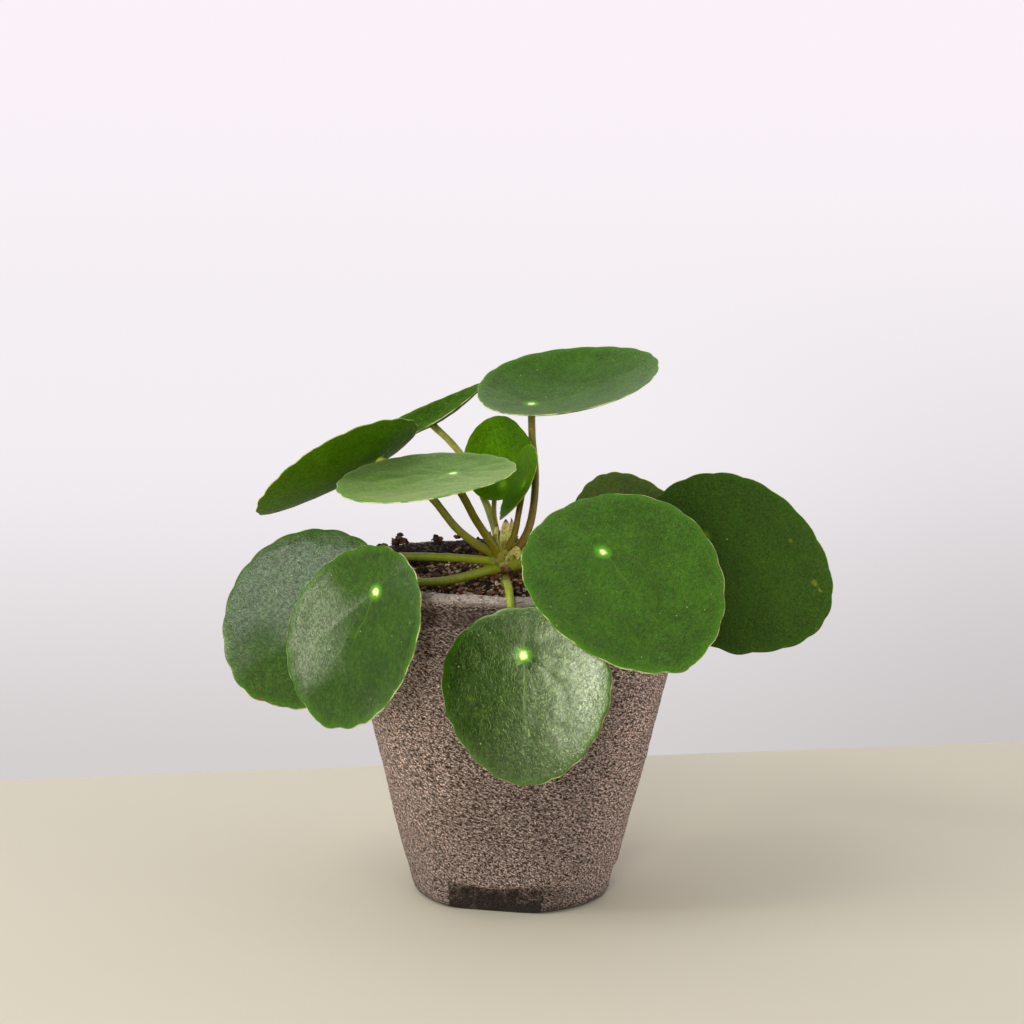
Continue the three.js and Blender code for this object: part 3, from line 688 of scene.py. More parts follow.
def scale_rings(direction, height, foot, length, width, lean, seed):
    """One papery flap: a pointed, hollowed leaf shape with a wavy edge, as rings round its two faces."""
    turn, tilt = math.radians(direction), math.radians(lean)
    outward = np.array([math.cos(turn), math.sin(turn), 0])
    across = np.array([-math.sin(turn), math.cos(turn), 0])
    up = np.array([0, 0, 1.0])
    root = np.array([*SCALE_CENTRE, height]) + outward * foot
    rings = []
    for row in np.linspace(0, 1, SCALE_ROWS):
        half = width / 2 * (1 - row**2.2) ** 0.8 * (0.75 + 0.5 * row) + 0.05
        bend = tilt * (0.75 + 0.4 * row)
        spine = root + (outward * math.sin(bend) + up * math.cos(bend)) * (length * row - 1.2)
        front, back = [], []
        for column in np.linspace(-1, 1, SCALE_COLUMNS):
            wave = 0.25 * noise.noise(Vector((column * 1.5, row * 3, seed)))
            cup = -0.35 * half * column**2 + wave
            face = spine + across * column * half + outward * -cup
            front.append(face)
            back.append(face + outward * SCALE_THICK * (1 - 0.6 * row))
        rings.append(front + back[::-1])
    return np.array(rings)


scale_pieces = []
for number, form in enumerate(SCALES):
    rings = scale_rings(*form, number * 3.7)
    flap = skin(f"scale_{number}", rings, rings[0].mean(0), rings[-1].mean(0))
    rows = np.repeat(np.linspace(0, 1, SCALE_ROWS), 2 * SCALE_COLUMNS)
    rows = np.concatenate([rows, [0, 1]])
    mark(flap, "growth", np.stack([rows, rows * 0 + number / len(SCALES), rows], 1))
    scale_pieces.append(flap)

tree, shader = material("papery scale", 0.4, Subsurface_Weight=0.6, Subsurface_Scale=1 * MM)
place = add(tree, "TexCoord").outputs["Object"]
growth = marked(tree, "growth")
veins = noise_at(place, 1 / (0.9 * MM), 3.0)
colour = blend(ramp(growth["X"], 0.0, 0.5), rgb(164, 164, 44), rgb(240, 234, 156))
colour = blend(ramp(veins, 0.6, 0.35, 0, 0.6), colour, rgb(168, 160, 82))
tip = plus(growth["X"], times(veins, 0.25))
brown_tip = times(ramp(tip, 0.98, 1.08), ramp(growth["Y"], 0.55, 0.45))
colour = blend(brown_tip, colour, rgb(112, 40, 18))
dress(shader, colour, veins, 0.2 * MM, 0.5)
for flap in scale_pieces:
    wear(flap, "papery scale")
for piece in [trunk, *scale_pieces]:
    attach(piece, "root")
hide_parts("trunk")


# Leaf stalks. Each leaf hangs on one smooth round stalk, which swells where it leaves the trunk and
# where it meets the middle of the blade's underside. New ones are green, old ones turn olive and brown.
STALK_SIDES = 20
STALK_STEP = 0.9
BLADE_THICK = 0.62
BROWN, OLIVE, OLIVE_GREEN = rgb(122, 92, 14), rgb(134, 126, 18), rgb(142, 146, 22)
FRESH, YELLOW_GREEN = rgb(158, 172, 34), rgb(186, 192, 76)
# In each leaf, in millimetres and degrees:
# - dot is where the stalk meets the blade, lean is [direction, tilt] of the upper face, turn swings
#   the tip round that face, and shift is the way from the dot to the middle of the blade
# - long and wide are half axes, cup, egg and fold bend the blade, and corners are [angle, spread,
#   height] on its edge; scallop and quilt scale its scallops and pillows, and droop lowers its rim
# - tone scales the greens; gloss, roughness, sheen and wax are those of the upper face, relief scales
#   its wrinkles and dry browns its rim; veil is the underside's sheen and under is its green
# - marks are [kind, place towards the tip, place across, size, strength]: 0 brown, 1 yellow, 2 dull
# - radius is the stalk's and tint its colour at the trunk and at the blade, foot and taper thicken
#   its lower end, stalk_end is where it ends if not at the dot, and stalk is the way that it takes
LEAVES = {
    "top": {
        "dot": (4.9, 12, 162.9), "lean": (-90, 14), "turn": 108, "shift": 13,
        "long": 30.4, "wide": 29, "cup": 0.68, "egg": -0.1, "fold": 0.12, "scallop": 0.55,
        "gloss": 0.45, "roughness": 0.42, "sheen": 0.1,
        "radius": 1.3, "tint": (BROWN, OLIVE),
        "stalk": [(-4, 0.6, 112.2), (-0.6, 1.8, 114.2), (2.4, 3.4, 117.4), (5.2, 6.6, 124.3),
            (6.5, 11.4, 137.6), (5.2, 12.8, 152)],
    },
    "upper_left_back": {
        "dot": (-29.2, 31, 153.7), "lean": (-175, 26), "turn": -121, "shift": 4.7,
        "long": 21.1, "wide": 20.2, "cup": 0.57, "fold": 0.5, "scallop": 0.7,
        "tone": 0.7, "gloss": 0.0, "roughness": 0.7, "sheen": 0.1,
        "radius": 1.25, "tint": (YELLOW_GREEN, YELLOW_GREEN),
        "stalk": [(-4.6, 1.4, 113.4), (-5.4, 3.6, 116.6), (-7, 8, 121.4), (-9.6, 14.5, 127.6),
            (-12.8, 20, 134), (-16.2, 24, 140.2), (-22, 28, 147.2)],
    },
    "left": {
        "dot": (-45.8, -5.8, 145.9), "lean": (155, 40), "turn": 45, "shift": 12.9,
        "long": 29.6, "wide": 28.3, "cup": 0.39, "egg": 0.04, "fold": 0.29,
        # The high tone paints the light that shines through the blade, seen on its underside
        "tone": 1.5,
        "radius": 1.35, "tint": (OLIVE, YELLOW_GREEN),
        "stalk": [(-3.8, 1, 110.4), (-7.6, 1.8, 113.5), (-11.7, 1, 115.9), (-19.3, -0.8, 122.1),
            (-27.3, -3, 132.2), (-36.4, -5, 141.2)],
    },
    "middle_left_front": {
        "dot": (-20.1, -26, 143.9), "lean": (-130, 12), "turn": -11, "shift": 10.5,
        "long": 29, "wide": 27.7, "cup": 0.17, "fold": 0.16,
        # The high tone paints a pale sheen over the face, where it catches the light at a grazing angle
        "tone": 1.6, "gloss": 0.4, "roughness": 0.6, "sheen": 0.7,
        "radius": 1.35, "tint": (OLIVE, OLIVE),
        "stalk": [(-4.3, -0.6, 112), (-6.6, -2.6, 115.6), (-9, -4.4, 119.6), (-13, -9, 126.3),
            (-16.4, -16, 133.8), (-19, -22.3, 139.4)],
    },
    "young_back": {
        "dot": (-4.4, 10, 135.9), "lean": (-125, 69), "turn": -158, "shift": 9,
        "long": 14.4, "wide": 13.8, "cup": 0.6, "egg": -0.04, "fold": 0,
        "corners": [(300, 22, -0.9)], "scallop": 0.4,
        "radius": 0.85, "tint": (OLIVE_GREEN, OLIVE),
        "stalk": [(-5.2, 0.4, 116.5), (-6.2, 4.2, 120.9), (-7.2, 10.2, 125.8), (-6.9, 14, 131)],
    },
    "young_folded": {
        "dot": (2.4, -5, 137.8), "lean": (-165, 66), "turn": 26, "shift": 0,
        "long": 12.9, "wide": 12.2, "cup": 1.98, "fold": -0.88,
        "corners": [(350, 14, 1.3)],
        "radius": 1.05, "tint": (OLIVE, BROWN),
        "stalk": [(-4.2, -0.6, 113.6), (-1.9, -2.5, 116.8), (-0.4, -3.2, 120.6),
            (0.6, -3.4, 125.5), (1.5, -4, 131.3)],
    },
    "left_low": {
        "dot": (-61.6, -37.3, 107.5), "lean": (-113, 61), "turn": -16, "shift": 9.9,
        "long": 30.3, "wide": 29, "cup": -0.07, "egg": -0.05, "fold": 0.25,
        "corners": [(7, 15, -1.2)], "droop": 0.5,
        "tone": 0.55, "gloss": 0.42, "wax": 0.95, "relief": 1.5, "dry": 0.7,
        "marks": [(2, 36, 6, 15, 1), (2, 24, -9, 11, 0.3), (0, 40.2, -1.5, 2.2, 1),
            (0, 40.2, 2.5, 2.0, 1), (0, 39.8, 6.5, 1.6, 1)],
        "radius": 1.35, "tint": (FRESH, FRESH),
        "stalk": [(-3.6, -0.6, 110.2), (-8.3, -2, 111.5), (-14.9, -4.4, 112.6), (-24.6, -9, 113.8),
            (-36.7, -17, 115.2), (-47, -27, 116), (-56, -34.5, 112.6)],
    },
    "front_left_low": {
        "dot": (-42.7, -60, 111.1), "lean": (-132, 71), "turn": -14, "shift": 14.6,
        "long": 28.7, "wide": 27.5, "cup": 0, "egg": 0.04, "fold": 0.4, "corners": [(3, 9, 1.1)],
        "quilt": 0.6, "droop": 0.4,
        "tone": 0.66, "gloss": 0.35, "wax": 1.0, "relief": 1.25,
        "marks": [(2, 12, 11, 13, 1), (2, 40, 5, 12, 0.8), (2, -7, -11, 12, 0.75)],
        "radius": 1.45, "tint": (FRESH, FRESH),
        "stalk": [(-3, -1.2, 107.6), (-7.6, -5.2, 109.2), (-12, -9.4, 108.7), (-21, -20.5, 108.2),
            (-30.8, -38, 110.4), (-37, -49, 112.6)],
    },
    "front_low": {
        "dot": (2.7, -72, 94.4), "lean": (-104, 77), "turn": 6, "shift": 12.2,
        "long": 26.9, "wide": 26.1, "cup": -0.11, "egg": -0.15, "fold": -0.17, "quilt": 0.5,
        "tone": 0.34, "gloss": 0.75, "roughness": 0.21, "wax": 1.0, "relief": 0.5, "dry": 0.9,
        "marks": [(2, 8, -19, 15, 0.8), (0, 14.5, 11.5, 1.3, 0.45), (0, -2.6, -1.6, 0.9, 0.5),
            (1, 17, -14, 2.6, 0.35), (1, 12, -17, 1.5, 0.35)],
        "radius": 1.35, "tint": (OLIVE_GREEN, FRESH), "foot": 0.1, "taper": 0.35,
        "stalk": [(-3.2, -1, 105.8), (-3.1, -6.5, 106.0), (-3.0, -15, 106.8), (-2.7, -38, 110),
            (-2.2, -54.5, 112.4), (-1.8, -60.6, 111.9), (-1.4, -63.6, 109), (-0.9, -64.6, 104),
            (0.5, -66.4, 98.4)],
    },
    "front_right": {
        "dot": (26.7, -57, 123.9), "lean": (-78, 46), "turn": 28, "shift": 12.4,
        "long": 32.6, "wide": 31.1, "cup": -0.14, "egg": -0.09, "fold": 0.41,
        "corners": [(356, 8, 1)],
        "relief": 1.3,
        "radius": 1.5, "tint": (FRESH, FRESH), "foot": 1.0,
        "stalk": [(-2.6, -0.6, 109.8), (1.4, -6.2, 111.2), (8, -21, 114.6), (17.2, -40, 119.6)],
    },
    "right_back": {
        "dot": (73.5, 31.3, 115.2), "lean": (63, 71), "turn": -6, "shift": 9.9,
        "long": 34.9, "wide": 37.1, "cup": 0, "egg": 0.06, "fold": -0.31, "corners": [(9, 8, 1.2)],
        "veil": 0.06, "under": (64, 97, 34),
        "marks": [(1, 16, -30, 1.4, 0.8), (1, 18.5, -31.5, 1.0, 0.8), (1, 0.5, -24, 0.9, 0.8),
            (1, 34, -27, 0.9, 0.6), (1, 9, -12, 0.7, 0.6)],
        "radius": 1.5, "tint": (FRESH, OLIVE_GREEN), "stalk_end": (65.6, 35.3, 115.2),
        "stalk": [(-2.6, 0.6, 108.6), (3.4, 2.9, 110.6), (9.4, 5.2, 112), (29, 13, 114),
            (46, 20, 115.2), (58, 26.5, 115.5)],
    },
    "back": {
        "dot": (38.4, 60.2, 119.3), "lean": (78, 66), "turn": -17, "shift": 7.4,
        "long": 24.7, "wide": 22.8, "cup": 0, "egg": 0.19, "fold": -0.11,
        "veil": 0.1, "under": (100, 122, 62),
        "radius": 1.35, "tint": (FRESH, OLIVE_GREEN),
        "stalk": [(-3, 1, 111.4), (0.6, 6, 112.6), (5.4, 13.4, 113.6), (17.3, 31, 115.2),
            (30, 48, 116.6)],
    },
}
# What a leaf has where its entry says nothing else
USUAL = {
    "egg": 0, "corners": [], "scallop": 1, "droop": 0.1, "marks": [], "foot": 0.55, "taper": 0.06,
    "tone": 1.0, "roughness": 0.28, "sheen": 0.0, "wax": 0.0, "relief": 0.42, "dry": 0.2, "veil": 0.0,
}
LEAVES = {name: {**USUAL, **leaf} for name, leaf in LEAVES.items()}


def leaf_frame(leaf):
    """The upper face's direction, the way to the tip and the way across, at the leaf's dot."""
    direction, tilt = (math.radians(v) for v in leaf["lean"])
    turn = math.radians(leaf["turn"])
    facing = np.array([math.cos(direction), math.sin(direction), 0])
    upright = np.array([0, 0, 1])
    upper = math.sin(tilt) * facing + math.cos(tilt) * upright
    downhill = math.cos(tilt) * facing - math.sin(tilt) * upright
    tip = downhill * math.cos(turn) + np.cross(upper, downhill) * math.sin(turn)
    return upper, tip, np.cross(upper, tip)


def between(a, b, start, end, at):
    """The point at this place on the way from a, which is at start, to b, which is at end."""
    return a + (b - a) * (at - start) / (end - start)


def smooth_route(points, spacing):
    """A curve through the points that turns evenly, whatever their spacing (centripetal)."""
    p = np.array(points, float)
    p = np.vstack([2 * p[0] - p[1], p, 2 * p[-1] - p[-2]])
    line = []
    for a, b, c, d in zip(p, p[1:], p[2:], p[3:]):
        steps = [math.sqrt(np.linalg.norm(q - r)) for q, r in ((b, a), (c, b), (d, c))]
        at_a, at_b, at_c, at_d = np.concatenate([[0], np.cumsum(steps)])
        for at in np.linspace(at_b, at_c, 16, endpoint=False):
            first = between(a, b, at_a, at_b, at)
            second = between(b, c, at_b, at_c, at)
            third = between(c, d, at_c, at_d, at)
            early = between(first, second, at_a, at_c, at)
            late = between(second, third, at_b, at_d, at)
            line.append(between(early, late, at_b, at_c, at))
    line.append(p[-2])
    return spaced(np.array(line), spacing)


tree, shader = material("leaf stalk", 0.42, Subsurface_Weight=0.25, Subsurface_Scale=1.2 * MM)
place = add(tree, "TexCoord").outputs["Object"]
tint = add(tree, "Attribute", {"attribute_name": "tint"}).outputs["Vector"]
streak = noise_at(place, 1 / (2.2 * MM), 3.0)
colour = blend(ramp(streak, 0.4, 0.7, 0.0, 0.25), tint, rgb(84, 70, 12))
pale = noise_at(place, 1 / (0.7 * MM), 1.0)
colour = blend(ramp(pale, 0.66, 0.74, 0.0, 0.5), colour, rgb(190, 190, 120))
dress(shader, colour, streak, 0.2 * MM, 0.3)
for name, leaf in LEAVES.items():
    upper = leaf_frame(leaf)[0]
    top = np.array(leaf.get("stalk_end", leaf["dot"])) - upper * BLADE_THICK * 0.5
    line = smooth_route([*leaf["stalk"], top], STALK_STEP)
    share = np.linspace(0, 1, len(line))
    reach = share * len(line) * STALK_STEP
    at_trunk = leaf["foot"] * np.exp(-reach / 4)
    at_blade = 0.16 * np.exp(-(reach[-1] - reach) / 2.5)
    swell = 1 + at_trunk + at_blade - 0.06 * np.sin(share * math.pi)
    swell *= 1 + leaf["taper"] * (1 - 2 * share**2)
    rings = tube(line, leaf["radius"] * swell, STALK_SIDES)
    rings += 0.07 * rough(rings, 3, 8)[..., None] * (rings - line[:, None]) / leaf["radius"]
    # The stalk ends inside the blade, so what would stand out above it is pushed back
    above = (rings - leaf["dot"]) @ upper + 0.6 * BLADE_THICK + 0.2
    near = np.linalg.norm(rings - leaf["dot"], axis=2) < 6
    rings -= (np.clip(above, 0, None) * near)[..., None] * upper
    stalk = skin(f"stalk_{name}_green", rings, line[0], line[-1])
    low, high = (np.array(c[:3]) for c in leaf["tint"])
    tints = low + (high - low) * np.clip(share * 1.2, 0, 1)[:, None]
    tints = np.vstack([np.repeat(tints, STALK_SIDES, 0), low, high])
    mark(stalk, "tint", tints)
    wear(stalk, "leaf stalk")
    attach(stalk, "root")
    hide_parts(f"stalk_{name}")


# Leaf blades. Round, fleshy and glossy, held from the middle of the underside like an umbrella: a
# bright dot over the stalk, veins that run out from it, a quilted face and a thin scalloped rim with a
# painted pale highlight.
BLADE_COLUMNS = 176
BLADE_ROWS = 40
SCALLOPS = 20
SCALLOP_DEPTH = 0.55
VEINS = 9
WRINKLE_DEPTH = 0.3
MIDDLE_TO_EDGE = 30


def blade_edge(leaf, angle):
    """The blade's edge in its own plane, with shallow scallops and the leaf's own corners."""
    u = leaf["shift"] + leaf["long"] * np.cos(angle)
    v = leaf["wide"] * np.sin(angle) * (1 + leaf["egg"] * np.cos(angle))
    depth = SCALLOP_DEPTH * leaf["scallop"] * min(1, leaf["wide"] / 26)
    push = depth * (np.abs(np.sin(angle * SCALLOPS / 2)) - 0.6)
    for middle, spread, height in leaf["corners"]:
        away = ((np.degrees(angle) - middle + 540) % 360 - 180) / spread
        push = push + height * np.exp(-away * away)
    return np.stack([u + push * np.cos(angle), v + push * np.sin(angle)], 1)


# The face that all blades share. Place is the way from the dot along and across the blade and the way
# in from the edge, in millimetres; Marks is how brown, how yellowed and how dull the blade is there.
leaf_tree, given, out = new_group(
    "leaf face",
    {
        "Place": "Vector", "Marks": "Vector", "Seed": "Float", "Green": "Color", "Dark": "Color",
        "Glow": "Color", "Vein": "Color", "Rim": "Color", "Halo": "Color", "Dot": "Color",
        "Vein Strength": "Float", "Dry Rim": "Float",
    },
    {"Color": "Color", "Height": "Float", "Gloss": "Float", "Wax": "Float"},
)
u, v, rim_away = split(given["Place"])
flat = add(leaf_tree, "CombineXYZ", X=u, Y=v, Z=given["Seed"]).outputs[0]
brown, yellow, dull = split(given["Marks"])
reach = maths("SQRT", plus(times(u, u), times(v, v)))
cloud = noise_at(flat, 0.09, 2.0)
fine = noise_at(flat, 0.6, 3.0)
spun = add(leaf_tree, "VectorRotate", {"rotation_type": "Z_AXIS"}, Vector=flat, Angle=given["Seed"])
wrinkle = noise_at(stretched(spun.outputs[0], (1.45, 0.95, 1)), 1.0, 3.0, 0.55, twist=0.9)
dents = noise_at(flat, 0.2, 1.0)
# The midrib runs from the dot to the tip; fainter veins leave the dot to both sides
sway = times(minus(cloud, 0.5), 3.0)
rib = ramp(maths("ABSOLUTE", plus(v, sway)), 0.1, 0.45, 1, 0)
rib = times(rib, times(ramp(u, 1, 3), ramp(u, 12, 26, 1, 0)))
turn = plus(maths("ARCTAN2", v, u), times(sway, 0.12))
part = maths("FRACT", maths("MULTIPLY_ADD", turn, VEINS / (2 * math.pi), 0.5))
off = times(maths("ABSOLUTE", minus(part, 0.5)), reach)
side_veins = ramp(times(off, 2 * math.pi / VEINS), 0.1, 0.5, 1, 0)
side_veins = times(side_veins, ramp(reach, 6, 20, 0.3, 0))
# Two greens in clouds, with painted shade in the wrinkles and painted light on their ridges, brighter
# at the rim, with paler veins over them
colour = blend(ramp(cloud, 0.35, 0.65), given["Dark"], given["Green"])
colour = blend(ramp(fine, 0.42, 0.72, 0, 0.2), colour, given["Vein"])
colour = blend(1.0, colour, ramp(wrinkle, 0.34, 0.66, 0.7, 1.26), "MULTIPLY")
near_rim = ramp(maths("MULTIPLY_ADD", cloud, 6.0, rim_away), 6.6, 1.8, 0, 0.66)
colour = blend(near_rim, colour, given["Glow"])
veins = times(maths("MAXIMUM", rib, side_veins), given["Vein Strength"])
colour = blend(veins, colour, given["Vein"])
# Tiny pale specks, and fewer dark spots
specks = cells(flat, 0.3)
chosen = ramp(add(leaf_tree, "SeparateColor", Color=specks["Color"]).outputs[0], 0.55, 0.57)
speck = times(ramp(specks["Distance"], 0.04, 0.09, 0.5, 0), chosen)
colour = blend(speck, colour, given["Rim"])
spots = cells(flat, 0.13)
chosen = ramp(add(leaf_tree, "SeparateColor", Color=spots["Color"]).outputs[1], 0.6, 0.62)
spot = times(ramp(spots["Distance"], 0.03, 0.09, 0.6, 0), chosen)
colour = blend(spot, colour, given["Dark"])
# The pale dot, with its halo, where the stalk meets the other side
uneven = maths("MULTIPLY_ADD", fine, 1.6, minus(reach, 0.8))
colour = blend(ramp(uneven, 3.6, 0.9, 0, 0.92), colour, given["Halo"])
colour = blend(ramp(uneven, 1.6, 0.8), colour, given["Dot"])
# Yellowed and brown parts, and the thin rim, painted pale as a highlight where the edge catches the
# light, with its dry stretches
along = noise_at(flat, 0.22, 2.0)
ragged = maths("MULTIPLY_ADD", fine, 0.5, -0.25)
yellowed = ramp(plus(yellow, ragged), 0.2, 0.8, 0, 0.8)
colour = blend(yellowed, colour, rgb(150, 156, 40))
browned = ramp(plus(brown, ragged), 0.35, 0.75)
colour = blend(browned, colour, rgb(120, 84, 42))
rim = times(ramp(rim_away, 0.3, 0.08), ramp(along, 0.4, 0.62, 0.12, 1))
dry_rim = ramp(noise_at(flat, 0.14, 1.0), 0.46, 0.58)
dry_rim = times(dry_rim, given["Dry Rim"])
colour = blend(rim, colour, blend(dry_rim, given["Rim"], rgb(132, 88, 38)))
# Wrinkles and dents for the relief. The wax is thinner in the wrinkles, and dull parts have none.
height = maths("MULTIPLY_ADD", wrinkle, 1.0, times(dents, 1.4))
height = minus(height, times(rib, 0.12))
height = minus(height, times(spot, 0.5))
leaf_tree.links.new(colour, out.inputs["Color"])
leaf_tree.links.new(height, out.inputs["Height"])
gloss = maths("MULTIPLY_ADD", dull, 0.3, ramp(wrinkle, 0.3, 0.7, 1.12, 0.88))
leaf_tree.links.new(gloss, out.inputs["Gloss"])
film = times(ramp(wrinkle, 0.36, 0.6, 0.36, 1.0), ramp(dull, 0.0, 0.4, 1, 0))
leaf_tree.links.new(film, out.inputs["Wax"])

GROWN = {
    "Green": rgb(58, 101, 10), "Dark": rgb(48, 87, 7), "Glow": rgb(78, 136, 6), "Vein": rgb(92, 134, 42),
    "Rim": rgb(212, 224, 156), "Halo": rgb(100, 180, 20), "Dot": rgb(250, 254, 178), "Vein Strength": 0.4,
}
YOUNG = {
    "Green": rgb(76, 122, 1), "Dark": rgb(66, 110, 1), "Glow": rgb(94, 144, 2), "Vein": rgb(108, 156, 10),
    "Rim": rgb(150, 182, 44), "Halo": rgb(96, 150, 12), "Dot": rgb(130, 180, 40), "Vein Strength": 0.5,
}
UNDERSIDE = {
    "Green": rgb(64, 98, 6), "Dark": rgb(58, 90, 4), "Glow": rgb(70, 108, 4), "Vein": rgb(84, 112, 22),
    "Rim": rgb(118, 140, 40), "Halo": rgb(112, 150, 36), "Dot": rgb(176, 192, 96), "Vein Strength": 0.4,
}


def blade_material(name, finish, seed, roughness, relief, tone, wax, dry, **uniform):
    """A blade face: the colours of the finish, read at the blade's own places, and patchy wax."""
    tree, shader = material(name, roughness, Coat_Roughness=0.26, **uniform)
    place = add(tree, "Attribute", {"attribute_name": "blade"}).outputs["Vector"]
    marks = add(tree, "Attribute", {"attribute_name": "marks"}).outputs["Vector"]
    face = add(tree, "Group", {"node_tree": leaf_tree}, Place=place, Marks=marks, Seed=seed, Dry_Rim=dry)
    for socket, value in finish.items():
        if socket in ("Green", "Dark", "Glow"):
            depth = tone**0.4 if socket == "Glow" else tone
            value = tuple(v * depth for v in value[:3]) + (1.0,)
        face.inputs[socket].default_value = value
    tree.links.new(times(face.outputs["Gloss"], roughness), shader.inputs["Roughness"])
    if wax:
        tree.links.new(times(face.outputs["Wax"], wax), shader.inputs["Coat Weight"])
    dress(shader, face.outputs["Color"], face.outputs["Height"], WRINKLE_DEPTH * MM * relief)


angle = np.linspace(0, 2 * math.pi, BLADE_COLUMNS, endpoint=False)
for number, (name, leaf) in enumerate(LEAVES.items()):
    upper, tip, side = leaf_frame(leaf)
    young = name.startswith("young")
    edge = blade_edge(leaf, angle)
    radius = np.linalg.norm(edge, axis=1)
    inside = np.linspace(0.03, 1, BLADE_ROWS - 2)[:, None] ** 0.9 * (1 - 0.9 / radius)
    shares = np.vstack([inside, 1 - 0.35 / radius, np.ones(BLADE_COLUMNS)])
    flat = edge[None] * shares[..., None]
    u, v = flat[..., 0], flat[..., 1]
    edge_away = (1 - shares) * radius
    spots = np.dstack([u, v, np.full_like(u, number * 40)])
    # Quilting: low pillows between the veins, a dimple at the dot, a rim that turns down a little
    fade = np.clip(edge_away / 4, 0, 1)
    pillows = 0.1 * rough(spots, 5.5, 1) + 0.3 * rough(spots, 17, 2, 1)
    folds = np.abs(np.sin((np.arctan2(v, u) + 0.5 * rough(spots, 20, 4, 1)) * VEINS / 2))
    pillows += 0.12 * (folds - 0.5) * np.clip(np.hypot(u, v) / 12, 0, 1)
    dimple = -0.3 * np.exp(-(np.hypot(u, v) / 3.2) ** 2)
    rise = (leaf["cup"] * (u * u + v * v) + leaf["fold"] * v * v) / 100
    curl = 0.2 * np.exp(-edge_away / 0.5) + leaf["droop"] * np.exp(-((edge_away / 3.2) ** 2))
    rise = rise + pillows * (0.3 + 0.7 * fade) * leaf.get("quilt", 0.5 if young else 1) + dimple - curl
    thick = BLADE_THICK * (0.45 + 0.55 * np.clip(edge_away / 1.6, 0, 1))
    middle = np.array(leaf["dot"])
    spread = middle + u[..., None] * tip + v[..., None] * side
    faces_up = spread + rise[..., None] * upper
    faces_down = spread + (rise - thick)[..., None] * upper
    rings = np.vstack([faces_down, faces_up[::-1]])
    top_point = middle + upper * (dimple[0].mean() + pillows[0].mean() * 0.3)
    blade = skin(f"blade_{name}_green", rings, top_point - upper * BLADE_THICK, top_point)
    stains = np.zeros(u.shape + (3,))
    for kind, x, y, size, strength in leaf["marks"]:
        away = ((u - x) ** 2 + (v - y) ** 2) / size**2
        stains[..., kind] = np.maximum(stains[..., kind], strength * np.exp(-away))
    foot = np.array(leaf.get("stalk_end", leaf["dot"])) - leaf["dot"]
    places = np.dstack([u - foot @ tip, v - foot @ side, edge_away])
    # The two points that close the middle of the blade lie at the dot, far from the edge
    ends = [[0, 0, MIDDLE_TO_EDGE]] * 2
    mark(blade, "blade", np.vstack([places.reshape(-1, 3), places[::-1].reshape(-1, 3), ends]))
    mark(blade, "marks", np.vstack([stains.reshape(-1, 3), stains[::-1].reshape(-1, 3), np.zeros((2, 3))]))
    # Light shines through the thin blade, and the finest roughness gives it a soft sheen
    soft = {"Subsurface_Weight": 0.9 if young else 0.45, "Subsurface_Scale": 0.4 * MM}
    soft |= {"Sheen_Roughness": 0.4, "Sheen_Tint": rgb(214, 226, 170)}
    seed = number * 7.3
    blade_material(
        f"leaf face {name}",
        YOUNG if young else GROWN,
        seed,
        roughness=leaf["roughness"],
        relief=leaf["relief"],
        tone=leaf["tone"],
        wax=leaf["wax"],
        dry=leaf["dry"],
        Specular_IOR_Level=leaf.get("gloss", 0.06 if young else 0.55),
        Specular_Tint=rgb(214, 244, 170),
        Sheen_Weight=leaf["sheen"],
        **soft,
    )
    finish = dict(YOUNG if young else UNDERSIDE)
    if "under" in leaf:
        red, green, blue = leaf["under"]
        finish["Green"] = rgb(red, green, blue)
        finish["Dark"] = rgb(red * 0.93, green * 0.91, blue)
        finish["Glow"] = rgb(red * 1.05, green * 1.1, blue * 0.9)
    blade_material(
        f"leaf underside {name}",
        finish,
        seed,
        roughness=0.65,
        relief=0.4,
        tone=leaf["tone"],
        wax=0.0,
        dry=0.2,
        Specular_IOR_Level=0.06,
        Sheen_Weight=leaf["veil"],
        **soft,
    )
    wear(blade, f"leaf face {name}")
    wear(blade, f"leaf underside {name}")
    # The underside's faces come first, and those round its middle after all the others
    lower = (BLADE_ROWS - 1) * BLADE_COLUMNS
    total = (2 * BLADE_ROWS - 1) * BLADE_COLUMNS
    kinds = np.zeros(len(blade.data.polygons), np.int32)
    kinds[:lower] = 1
    kinds[total : total + BLADE_COLUMNS] = 1
    blade.data.polygons.foreach_set("material_index", kinds)
    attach(blade, "root")
    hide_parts(f"blade_{name}")


# Floor and light. A plain pale floor and five soft lamps: a large one high on the left and a small one
# beside it, a narrow one low on the left, one in front and a weak one on the right. The room round
# them is dim, with a bright plain backdrop.
# The floor ends behind the plant in a slightly slanting edge; sizes of floor and light are in metres
FLOOR_SIDE, FLOOR_FRONT = 1.6, -2.4
FLOOR_BACK, FLOOR_SLANT = 170 * MM, 0.317
LAMP_AWAY = 2
floor_mesh = bpy.data.meshes.new("table_top")
corners = [(-FLOOR_SIDE, FLOOR_FRONT), (FLOOR_SIDE, FLOOR_FRONT)]
corners += [(FLOOR_SIDE, FLOOR_BACK + FLOOR_SLANT), (-FLOOR_SIDE, FLOOR_BACK - FLOOR_SLANT)]
floor_mesh.from_pydata([(x, y, 0) for x, y in corners], [], [(0, 1, 2, 3)])
floor = placed("table_top", floor_mesh)
tree, shader = material("pale floor", 0.75, Specular_IOR_Level=0.2)
place = add(tree, "TexCoord").outputs["Object"]
colour = blend(noise_at(place, 6.0, 3.0), rgb(223, 216, 198), rgb(227, 220, 202))
tree.links.new(colour, shader.inputs["Base Color"])
wear(floor, "pale floor")


